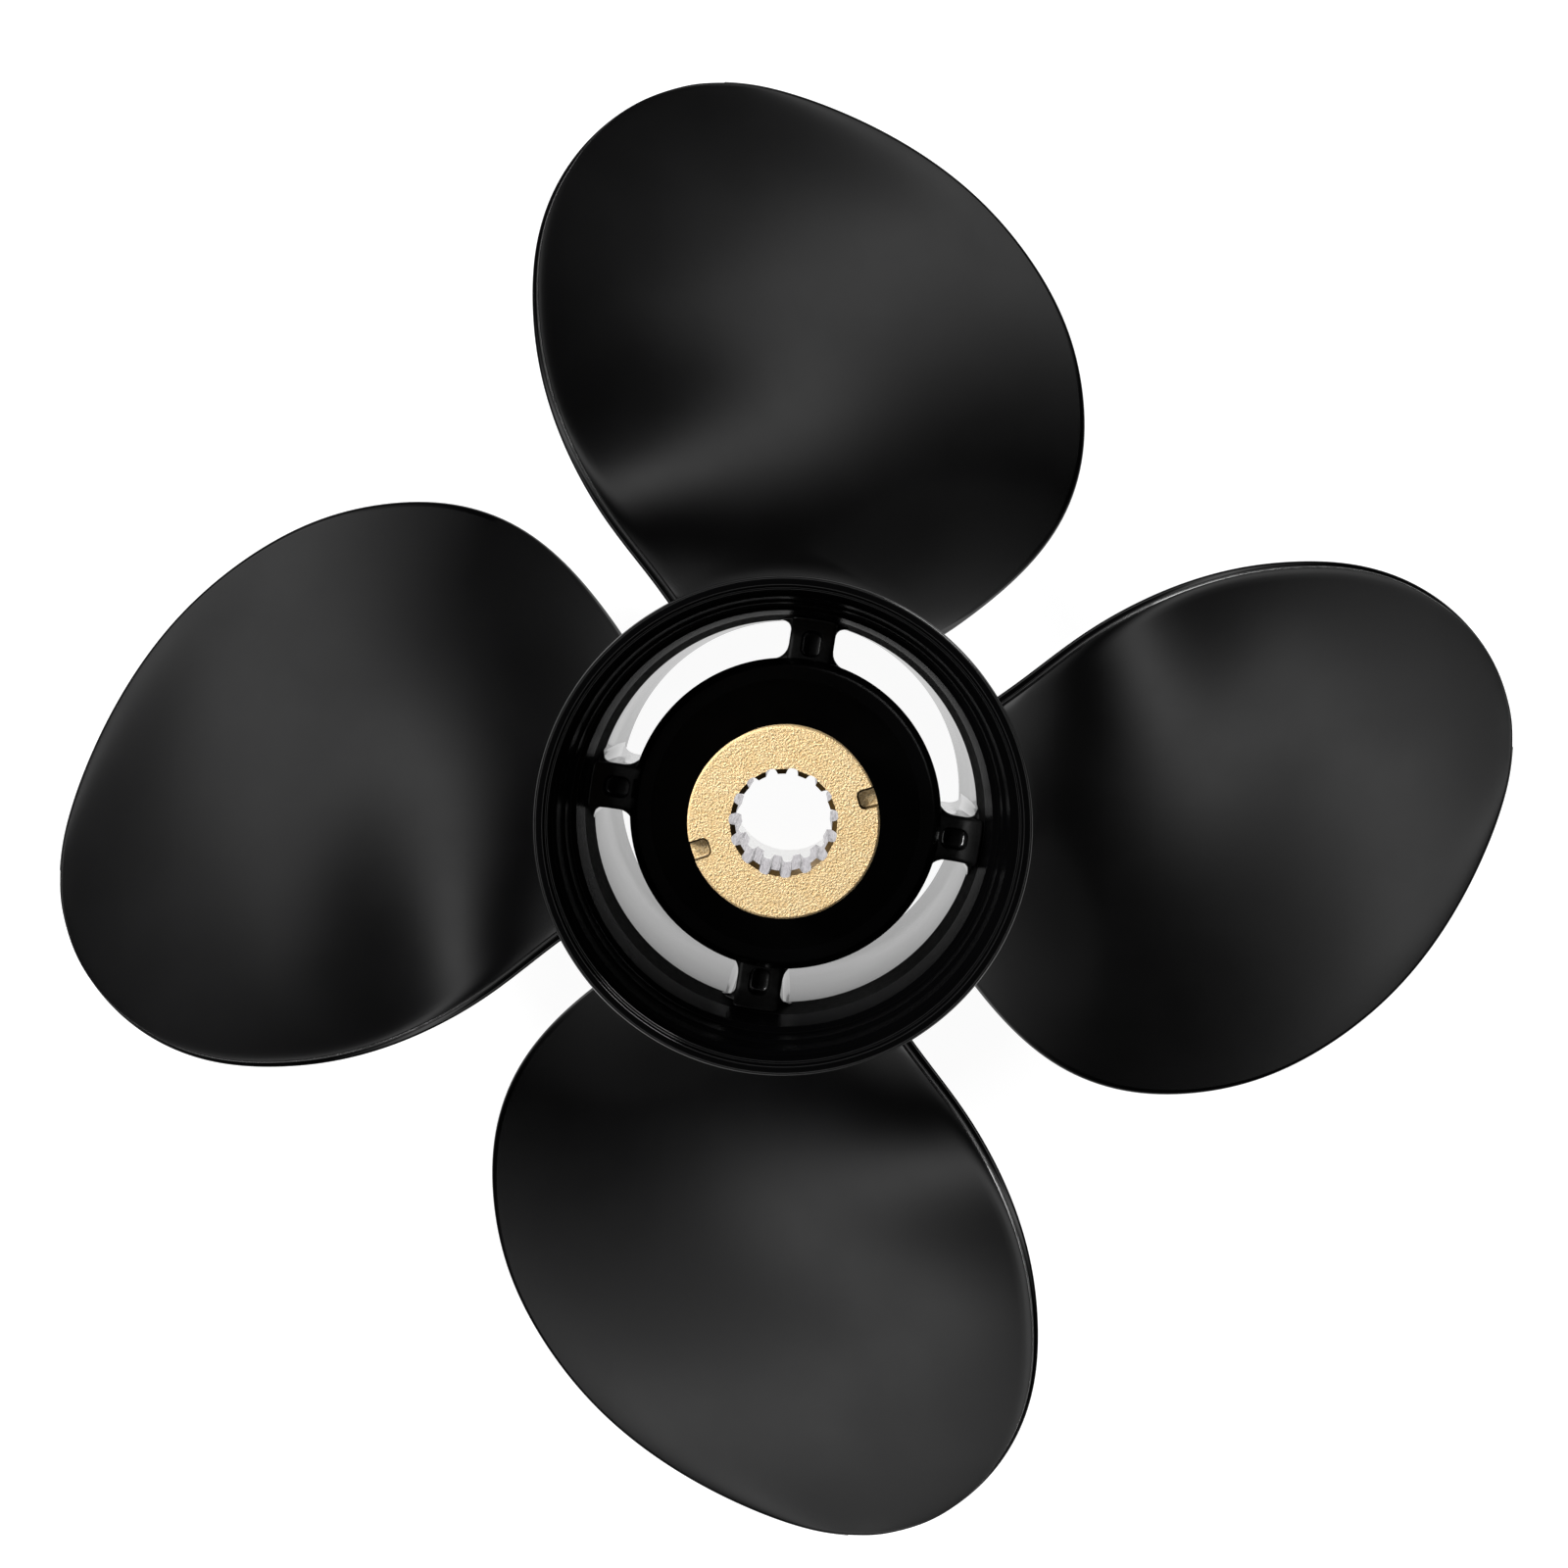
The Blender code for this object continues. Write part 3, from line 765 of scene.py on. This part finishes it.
def blade_line(start, end, shares, chord, sizes):
    """Points across the swelling helical face between two (radius, angle) ends, and its normals."""
    lead = PITCH / (2.0 * math.pi)
    radius = start[0] + shares * (end[0] - start[0])
    angle = start[1] + shares * (end[1] - start[1])
    slant = np.hypot(radius, lead)
    knots, swell, lean = np.array(FACE_SHAPE).T
    inside = np.clip(radius, knots[0], knots[-1])
    swell = smooth_line(knots, swell, inside) * shares * (1.0 - shares)
    lean = smooth_line(knots, lean, inside) * shares * (1.0 - shares) * (1.0 - 2.0 * shares)
    shape = 4.0 * sizes.swell * chord * (swell + lean)
    height = from_rim(TRAILING_DEPTH) + lead * (angle - math.radians(PITCH_ORIGIN_ANGLE)) + shape
    base = np.stack([radius * np.cos(angle), radius * np.sin(angle), height], 1)
    outward = np.stack([np.sin(angle) * lead / slant, -np.cos(angle) * lead / slant, radius / slant], 1)
    return radius, base, outward


def blade_mesh(sizes):
    """The blade as closed sections from root to tip: its face, its stepped trailing edge and its back."""
    (lead_radius, lead_angle), (trail_radius, trail_angle) = blade_edges()
    lead = PITCH / (2.0 * math.pi)
    edge_reach = sizes.fillet * EDGE_FILLET_SHARE
    lead_angle = lead_angle - fillet_offset(lead_radius - BARREL_RADIUS, edge_reach) / lead_radius
    trail_angle = trail_angle + fillet_offset(trail_radius - BARREL_RADIUS, edge_reach) / trail_radius
    lead_line = np.stack([lead_radius * np.cos(lead_angle), lead_radius * np.sin(lead_angle)], 1)
    trail_line = np.stack([trail_radius * np.cos(trail_angle), trail_radius * np.sin(trail_angle)], 1)
    along = np.gradient(trail_line, axis=0)
    along = along / np.linalg.norm(along, axis=1)[:, None]
    away = np.stack([-along[:, 1], along[:, 0]], 1)
    loops = []
    for row in range(SPAN_STEPS + 1):
        chord = max(0.5 * (lead_radius[row] + trail_radius[row]) * (trail_angle[row] - lead_angle[row]), 1e-7)
        shares = chord_shares(chord)
        start = (lead_radius[row], lead_angle[row])
        edge_thickness = float(section_thickness(np.ones(1), trail_radius[row:row + 1], sizes)[0])
        at_tip = np.clip((trail_radius[row] - TIP_START) / (BLADE_OUTLINE[-1][0] - TIP_START), 0.0, 1.0)
        width = TRAILING_WIDTH * edge_thickness * (1.0 - TIP_NARROWING * at_tip)
        width = min(width, EDGE_WIDTH_LIMIT * chord)
        inner = trail_line[row] - away[row] * width
        end = (math.hypot(*inner), math.atan2(inner[1], inner[0]))
        radius, base, outward = blade_line(start, end, shares, chord, sizes)
        inside = edge_distance(base[:, :2], lead_line)
        cup = sizes.cup_height * np.clip(1.0 - (1.0 - shares) * chord / CUP_WIDTH, 0.0, 1.0) ** 2
        cup = cup * np.clip((CUP_END_RADIUS - radius) / CUP_FADE, 0.0, 1.0)
        thick = section_thickness(shares, radius, sizes)
        fillet = root_fillet(radius, shares, edge_reach, sizes)
        face = base + outward * (cup + fillet - rounding(radius, base, inside, thick, trail_line))[:, None]
        shift = edge_thickness * lead / (trail_radius[row] * math.hypot(trail_radius[row], lead))
        shift = min(shift, EDGE_WIDTH_LIMIT * chord / trail_radius[row])
        behind_end = (trail_radius[row], trail_angle[row] - shift)
        radius, base, outward = blade_line(start, behind_end, shares, chord, sizes)
        inside = edge_distance(base[:, :2], lead_line)
        thick = section_thickness(shares, radius, sizes)
        fillet = root_fillet(radius, shares, edge_reach, sizes)
        back = base - outward * (thick + fillet - rounding(radius, base, inside, thick, trail_line))[:, None]
        fall = back[-1][2] - face[-1][2]
        step = [np.append(trail_line[row] - away[row] * width * inward, face[-1][2] + down * fall)
                for inward, down in TRAILING_SECTION]
        loops.append(np.concatenate([face, np.array(step), back[::-1]]))
    last = len(face) - 1
    columns = [0] * len(loops[0])
    # The wall of the trailing edge's step takes the bright metal: a painted highlight along the edge.
    for column in range(last, last + len(TRAILING_SECTION) + 1):
        columns[column] = 2 if column == last + STEP_WALL else 1
    for column in range(EDGE_COLUMNS):
        columns[column] = columns[-1 - column] = 1
    return stitched("blade", loops, BLADE_CREASE, columns, BLADE_WELD)


def root_fillet(radius, shares, edge_reach, sizes):
    """How far the fillet to the barrel stands off the blade, less towards both edges."""
    reach = edge_reach + (sizes.fillet - edge_reach) * np.sin(np.pi * shares) ** 0.7
    return fillet_offset(radius - BARREL_RADIUS, reach) * np.sin(np.pi * np.clip(shares, 0.0, 1.0)) ** 0.25


def edge_rounding(inside, thick):
    """How far the skin falls away near the leading edge, as a quarter round."""
    bevel = np.minimum(LEADING_BEVEL, 0.48 * thick)
    left = np.clip(bevel - inside, 0.0, None)
    return bevel - np.sqrt(np.maximum(bevel ** 2 - left ** 2, 0.0))


def rounding(radius, base, inside, thick, trail_line):
    """The leading edge's round, which runs on around the tip and dies out along the trailing edge."""
    lead = edge_rounding(inside, thick)
    if radius.max() < TIP_START:
        return lead
    at_tip = np.clip((radius - TIP_START) / (BLADE_OUTLINE[-1][0] - TIP_START), 0.0, 1.0)
    return np.maximum(lead, at_tip * edge_rounding(edge_distance(base[:, :2], trail_line), thick))


def edge_distance(flat, outline):
    """Distance in plan from each point to an edge's outline."""
    start = outline[:-1]
    span = outline[1:] - start
    size = np.maximum((span ** 2).sum(1), 1e-18)
    offset = flat[:, None, :] - start[None, :, :]
    share = np.clip((offset * span[None]).sum(2) / size[None], 0.0, 1.0)
    gap = offset - share[..., None] * span[None]
    return np.sqrt((gap ** 2).sum(2)).min(1)


class PROPELLER_OT_blades(bpy.types.Operator):
    """Build the four blades with their stepped trailing edges and root fillets"""
    bl_idname = "propeller.blades"
    bl_label = "Blades"

    def execute(self, context):
        mesh = blade_mesh(context.scene.propeller_sizes)
        materials = [finish_material(key) for key in ("paint", "edge", "highlight_metal")]
        for index in range(BLADE_COUNT):
            name = "blade_%d" % (index + 1)
            add_piece("cast_" + name, mesh, materials, name, 360.0 * index / BLADE_COUNT)
        return {'FINISHED'}


class PROPELLER_OT_outer_barrel(bpy.types.Operator):
    """Build the outer barrel with its stepped, flared rim"""
    bl_idname = "propeller.outer_barrel"
    bl_label = "Outer Barrel"

    def execute(self, context):
        mesh = turned("outer_barrel_casting", outer_barrel_profile(), OUTER_SIDES)
        kinds = [self.skin(face, mesh) for face in mesh.polygons]
        materials = [finish_material(key) for key in ("grainy", "passage", "dull", "flats", "rings")]
        add_piece("outer_barrel_casting", mesh, materials, "outer_barrel")
        mesh.polygons.foreach_set("material_index", kinds)
        return {'FINISHED'}

    def skin(self, face, mesh):
        """Which finish a face has: outside, passage, strip beside the windows, ring flats or ring edges."""
        depth = BARREL_LENGTH - face.center.z
        if math.hypot(face.center.x, face.center.y) > FLARE_INSIDE_RADIUS:
            return 0
        if depth > RIB_PLANE_DEPTH:
            return 1
        if depth > STRIP_DEPTH:
            return 2
        corners = [mesh.vertices[index].co for index in face.vertices]
        tall = max(corner.z for corner in corners) - min(corner.z for corner in corners)
        return 3 if tall > RING_EDGE else 4


class PROPELLER_OT_inner_barrel(bpy.types.Operator):
    """Build the inner barrel that carries the bushing"""
    bl_idname = "propeller.inner_barrel"
    bl_label = "Inner Barrel"

    def execute(self, context):
        mesh = turned("inner_barrel_casting", inner_barrel_profile(), INNER_SIDES)
        add_piece("inner_barrel_casting", mesh, [finish_material("grainy")], "inner_barrel")
        return {'FINISHED'}


def fillet_width(distance):
    """Extra half width where a rib runs into a barrel."""
    left = max(RIB_FILLET - max(distance, 0.0), 0.0)
    return RIB_FILLET - math.sqrt(RIB_FILLET ** 2 - left ** 2)


def rib_section(share):
    """One upright section of a rib as (across, height) points, at a share of the way outward."""
    inner = INNER_BARREL_RADIUS
    outer = passage_radius(from_rim(RIB_PLANE_DEPTH))
    along = inner + share * (outer - inner)
    half = RIB_WIDTH / 2
    wide = half + max(fillet_width(along - inner), fillet_width(outer - along))
    rise_share = min(max(1.0 - (outer - along) / RIB_RISE_REACH, 0.0), 1.0)
    top = from_rim(RIB_AFT_DEPTH) + RIB_RISE * rise_share ** 2
    side = [
        (wide - 0.0022, RIB_FORWARD_HEIGHT),
        (wide - 0.0014, RIB_FORWARD_HEIGHT + 0.0008),
        (wide - 0.0012, RIB_FORWARD_HEIGHT + 0.0020),
        (wide, from_rim(RIB_AFT_DEPTH + 0.0044)),
        (half + 0.80 * (wide - half), from_rim(RIB_AFT_DEPTH + 0.0028)),
        (half + 0.30 * (wide - half), from_rim(RIB_AFT_DEPTH + 0.0020)),
        (half, from_rim(RIB_AFT_DEPTH + 0.0016)),
    ]
    for step in range(6):
        turn = math.radians(90.0 * step / 5)
        side.append((half - RIB_EDGE + RIB_EDGE * math.cos(turn), top - RIB_EDGE + RIB_EDGE * math.sin(turn)))
    side.append((half * 0.4, top))
    return along, [(x, z) for x, z in side] + [(-x, z) for x, z in reversed(side)]


def rib_mesh():
    """A rib swept from barrel to barrel, its ends inside their walls, with a blind pocket in its aft face."""
    loops = []
    for share in RIB_STATIONS:
        along, section = rib_section(min(max(share, 0.0), 1.0))
        along += (share - min(max(share, 0.0), 1.0)) * (PASSAGE_AFT_RADIUS - INNER_BARREL_RADIUS)
        at_end = min(abs(share - 0.5) * 2.0, 1.0) ** 2
        loop = []
        for across, height in section:
            round_end = math.sqrt(max(along ** 2 - across ** 2, 0.0))
            drift = max(passage_radius(height) - PASSAGE_AFT_RADIUS, 0.0) * max(share, 0.0)
            loop.append((along + (round_end - along) * at_end + drift, across, height))
        loops.append(loop)
    plug = cutter("pocket", POCKET_RADIUS, 0.0, POCKET_LENGTH, POCKET_WIDTH, POCKET_CORNER,
                  from_rim(RIB_AFT_DEPTH + POCKET_DEPTH), from_rim(RIB_AFT_DEPTH - 0.0060), POCKET_ROUND, 2)
    body = stitched("rib", loops, RIB_CREASE)
    for part in (body, plug):
        for key in ("dull", "sides", "grainy"):
            part.materials.append(finish_material(key))
    for face in body.polygons:
        face.material_index = 1 if face.center.z < from_rim(RIB_AFT_DEPTH + RIB_SKIN_DEPTH) else 0
    return carved(body, [plug], RIB_CREASE)


class PROPELLER_OT_ribs(bpy.types.Operator):
    """Build the four ribs between the two barrels"""
    bl_idname = "propeller.ribs"
    bl_label = "Ribs"

    def execute(self, context):
        mesh = rib_mesh()
        for index in range(BLADE_COUNT):
            name = "rib_%d" % (index + 1)
            add_piece("cast_" + name, mesh, [], name, RIB_ANGLE + 360.0 * index / BLADE_COUNT)
        return {'FINISHED'}


class PROPELLER_OT_bushing(bpy.types.Operator):
    """Build the rubber bushing"""
    bl_idname = "propeller.bushing"
    bl_label = "Rubber Bushing"

    def execute(self, context):
        aft = from_rim(BUSHING_AFT_DEPTH)
        inner = SLEEVE_RADIUS - 0.0002
        profile = rounded((
            (inner, BUSHING_FORWARD_HEIGHT, 0.0),
            (INNER_BARREL_BORE + 0.0001, BUSHING_FORWARD_HEIGHT, 0.0),
            (INNER_BARREL_BORE + 0.0001, aft, 0.0),
            (inner, aft, 0.0),
        ))
        mesh = turned("moulded_bushing", profile, BUSHING_SIDES)
        add_piece("moulded_bushing", mesh, [finish_material("rubber")], "rubber_bushing")
        return {'FINISHED'}


def spline_ring():
    """The toothed bore as (radius, angle) points: crests, sloping flanks and scooped roots."""
    pitch_angle = 360.0 / SPLINE_TEETH
    points = []
    for tooth in range(SPLINE_TEETH):
        middle = SPLINE_FIRST_CREST + tooth * pitch_angle
        for share in (-0.1, 0.0, 0.1):
            points.append((SPLINE_CREST_RADIUS, math.radians(middle + share * pitch_angle)))
        gap = middle + 0.5 * pitch_angle
        scoop = [(-share, depth) for share, depth in SPLINE_SCOOP] + list(reversed(SPLINE_SCOOP))[1:]
        for share, depth in scoop:
            radius = SPLINE_CREST_RADIUS + depth * (SPLINE_ROOT_RADIUS - SPLINE_CREST_RADIUS)
            points.append((radius, math.radians(gap + share * pitch_angle)))
    return points


class PROPELLER_OT_sleeve(bpy.types.Operator):
    """Build the brass sleeve with its toothed bore and the two notches in its face"""
    bl_idname = "propeller.sleeve"
    bl_label = "Brass Sleeve"

    def execute(self, context):
        aft = from_rim(SLEEVE_AFT_DEPTH)
        bottom = SLEEVE_FORWARD_HEIGHT
        relief_top = aft - SPLINE_LENGTH - 0.0008
        teeth = spline_ring()
        slope = SPLINE_CHAMFER / (MOUTH_RADIUS - SPLINE_CREST_RADIUS)

        def circle(radius, height):
            return [(radius, angle, height) for _, angle in teeth]

        mouth = [(max(radius, MOUTH_RADIUS), angle, aft) for radius, angle in teeth]
        chamfer = [(radius, angle, aft - slope * max(MOUTH_RADIUS - radius, 0.0) - 0.00002)
                   for radius, angle in teeth]
        # The chamfers take brass painted dark brown as shade; the tooth walls and the relief take brass painted
        # pale and almost white as the light table's reflection.
        rings = [
            (mouth, "cast"),
            (chamfer, "painted_shade"),
            ([(radius, angle, aft - SPLINE_LENGTH) for radius, angle in teeth], "broached_sheen"),
            (circle(RELIEF_RADIUS, relief_top), "broached_sheen"),
            (circle(RELIEF_RADIUS, bottom + TAPER_LENGTH), "turned"),
            (circle(TAPER_RADIUS, bottom), "turned"),
            (circle(SLEEVE_RADIUS - 0.0006, bottom), "cast"),
            (circle(SLEEVE_RADIUS - 0.0002, bottom + 0.0002), "cast"),
            (circle(SLEEVE_RADIUS, bottom + 0.0006), "cast"),
            (circle(SLEEVE_RADIUS, aft - 0.0005), "cast"),
            (circle(SLEEVE_RADIUS - 0.0002, aft - 0.0002), "cast"),
            (circle(SLEEVE_RADIUS - 0.0005, aft), "cast"),
        ]
        order = ("cast", "painted_shade", "broached_sheen", "turned")
        count = len(teeth)
        points = [(radius * math.cos(angle), radius * math.sin(angle), height)
                  for ring, _ in rings for radius, angle, height in ring]
        faces = []
        kinds = []
        for index in range(len(rings)):
            following = (index + 1) % len(rings)
            kind = order.index(rings[following][1])
            for side in range(count):
                after = (side + 1) % count
                faces.append((index * count + side, index * count + after,
                              following * count + after, following * count + side))
                kinds.append(kind)
        # The notches' walls take the cut brass painted dark brown as shade.
        plugs = []
        for angle in NOTCH_ANGLES:
            plugs.append(cutter("notch", SLEEVE_RADIUS - NOTCH_LENGTH + 0.0040, math.radians(angle), 0.0080,
                                NOTCH_WIDTH, NOTCH_CORNER, aft - NOTCH_DEPTH, aft + 0.0010, NOTCH_ROUND, 1))
        body = mesh_of("brass_sleeve", points, faces, SLEEVE_CREASE, kinds)
        materials = [finish_material(key) for key in order]
        for part in [body] + plugs:
            for material in materials:
                part.materials.append(material)
        mesh = carved(body, plugs, SLEEVE_CREASE)
        piece = add_piece("splined_brass_sleeve", mesh, materials, "brass_sleeve")
        piece.visible_glossy = False
        return {'FINISHED'}


class PROPELLER_OT_stage(bpy.types.Operator):
    """Set the pale floor, the soft light and the camera"""
    bl_idname = "propeller.stage"
    bl_label = "Stage"

    def execute(self, context):
        stage = context.scene.propeller_stage
        self.add_floor(context)
        self.add_world(context)
        for name, power, size, around, slope, distance, reach, blocked, unseen in LAMPS:
            lamp = self.add_softbox(context, name, getattr(stage, power), size, around, slope, distance)
            if unseen:
                setattr(lamp, unseen, False)
            if reach:
                self.light_only(context, lamp, reach, blocked)
        self.add_camera(context, stage)
        context.scene.view_settings.view_transform = 'Standard'
        return {'FINISHED'}

    def light_only(self, context, lamp, names, blocked):
        """Let a lamp reach only the pieces whose names start so, past all others if they don't block it."""
        lit = bpy.data.collections.new(lamp.name + " reach")
        for piece in context.scene.objects:
            if piece.name.startswith(names):
                lit.objects.link(piece)
        lamp.light_linking.receiver_collection = lit
        if not blocked:
            lamp.light_linking.blocker_collection = lit

    def add_floor(self, context):
        work = bmesh.new()
        bmesh.ops.create_circle(work, cap_ends=True, radius=FLOOR_RADIUS, segments=64)
        mesh = bpy.data.meshes.new("floor")
        work.to_mesh(mesh)
        work.free()
        floor = bpy.data.objects.new("floor", mesh)
        context.scene.collection.objects.link(floor)
        floor.location.z = -0.0002
        material, tree, shader, place = start_material("white light table")
        reach = add_node(tree, "ShaderNodeVectorMath", {"operation": 'LENGTH'}, {0: (place, "Object")})
        glow = add_node(tree, "ShaderNodeMapRange", inputs={
            "Value": (reach, "Value"), "From Min": 0.10, "From Max": 0.30, "To Min": 0.95, "To Max": 1.4})
        fade = add_node(tree, "ShaderNodeMapRange", inputs={
            "Value": (reach, "Value"), "From Min": 0.40, "From Max": 0.60, "To Min": 1.0, "To Max": 0.25})
        power = add_node(tree, "ShaderNodeMath", {"operation": 'MULTIPLY'}, {
            0: (glow, "Result"), 1: (fade, "Result")})
        tree.links.new(power.outputs["Value"], shader.inputs["Emission Strength"])
        shader.inputs["Base Color"].default_value = (*linear("#6A6A6A"), 1.0)
        shader.inputs["Roughness"].default_value = 0.9
        shader.inputs["Specular IOR Level"].default_value = 0.0
        shader.inputs["Emission Color"].default_value = (1.0, 1.0, 1.0, 1.0)
        mesh.materials.append(material)

    def add_world(self, context):
        """A round light tent: a ring of light at mid height, dark above and below it, pale at the horizon."""
        world = bpy.data.worlds.new("round light tent")
        context.scene.world = world
        world.use_nodes = True
        tree = world.node_tree
        tree.nodes.clear()
        place = add_node(tree, "ShaderNodeTexCoord")
        parts = add_node(tree, "ShaderNodeSeparateXYZ", inputs={"Vector": (place, "Generated")})
        ramp = add_node(tree, "ShaderNodeValToRGB", inputs={"Fac": (parts, "Z")})
        brightest = TENT[0][1]
        elements = ramp.color_ramp.elements
        elements.remove(elements[1])
        for index, (slope, value) in enumerate(TENT):
            position = math.cos(math.radians(slope))
            element = elements[0] if index == 0 else elements.new(position)
            element.position = position
            element.color = (value / brightest,) * 3 + (1.0,)
        sky = add_node(tree, "ShaderNodeBackground", inputs={"Color": (ramp, "Color"), "Strength": brightest})
        add_node(tree, "ShaderNodeOutputWorld", inputs={"Surface": (sky, "Background")})

    def add_softbox(self, context, name, power, size, around, slope, distance):
        """A rectangular lamp aimed at the hub; around is its bearing, slope its angle from overhead."""
        light = bpy.data.lights.new(name, 'AREA')
        light.shape = 'RECTANGLE'
        light.size = size[0]
        light.size_y = size[1]
        light.energy = power
        lamp = bpy.data.objects.new(name, light)
        context.scene.collection.objects.link(lamp)
        turn = math.radians(around)
        tilt = math.radians(slope)
        reach = distance * math.sin(tilt)
        lamp.location = (reach * math.cos(turn), reach * math.sin(turn),
                         BARREL_LENGTH + distance * math.cos(tilt))
        lamp.rotation_euler = (0.0, tilt, turn)
        return lamp

    def add_camera(self, context, stage):
        data = bpy.data.cameras.new("camera")
        data.sensor_width = 36.0
        data.lens = data.sensor_width * stage.focal_pixels / PICTURE_SIDE
        per_pixel = stage.camera_height / stage.focal_pixels
        data.shift_x = -(CAMERA_FOOT[0] - PICTURE_SIDE / 2) / PICTURE_SIDE
        data.shift_y = (CAMERA_FOOT[1] - PICTURE_SIDE / 2) / PICTURE_SIDE
        data.clip_start = 0.01
        camera = bpy.data.objects.new("camera", data)
        context.scene.collection.objects.link(camera)
        camera.location = ((CAMERA_FOOT[0] - RIM_CENTRE[0]) * per_pixel,
                           (RIM_CENTRE[1] - CAMERA_FOOT[1]) * per_pixel,
                           BARREL_LENGTH + stage.camera_height)
        context.scene.camera = camera


class VIEW3D_PT_propeller(bpy.types.Panel):
    """Lists the propeller's sizes, finishes and operators"""
    bl_label = "Boat Propeller"
    bl_idname = "VIEW3D_PT_propeller"
    bl_space_type = 'VIEW_3D'
    bl_region_type = 'UI'
    bl_category = "Propeller"

    def draw(self, context):
        layout = self.layout
        scene = context.scene
        for group in (scene.propeller_sizes, scene.propeller_finish, scene.propeller_stage):
            column = layout.column()
            for name in group.__annotations__:
                column.prop(group, name)
        for operator in OPERATORS:
            layout.operator(operator.bl_idname)


OPERATORS = (
    PROPELLER_OT_blades,
    PROPELLER_OT_outer_barrel,
    PROPELLER_OT_inner_barrel,
    PROPELLER_OT_ribs,
    PROPELLER_OT_bushing,
    PROPELLER_OT_sleeve,
    PROPELLER_OT_stage,
)
GROUPS = (PropellerSizes, PropellerFinish, PropellerStage)


def register():
    for group in GROUPS + OPERATORS + (VIEW3D_PT_propeller,):
        bpy.utils.register_class(group)
    bpy.types.Scene.propeller_sizes = PointerProperty(type=PropellerSizes)
    bpy.types.Scene.propeller_finish = PointerProperty(type=PropellerFinish)
    bpy.types.Scene.propeller_stage = PointerProperty(type=PropellerStage)


def unregister():
    del bpy.types.Scene.propeller_stage
    del bpy.types.Scene.propeller_finish
    del bpy.types.Scene.propeller_sizes
    for group in reversed(GROUPS + OPERATORS + (VIEW3D_PT_propeller,)):
        bpy.utils.unregister_class(group)


def main():
    register()
    bpy.ops.propeller.blades()
    bpy.ops.propeller.outer_barrel()
    bpy.ops.propeller.inner_barrel()
    bpy.ops.propeller.ribs()
    bpy.ops.propeller.bushing()
    bpy.ops.propeller.sleeve()
    bpy.ops.propeller.stage()


if __name__ == "__main__":
    main()
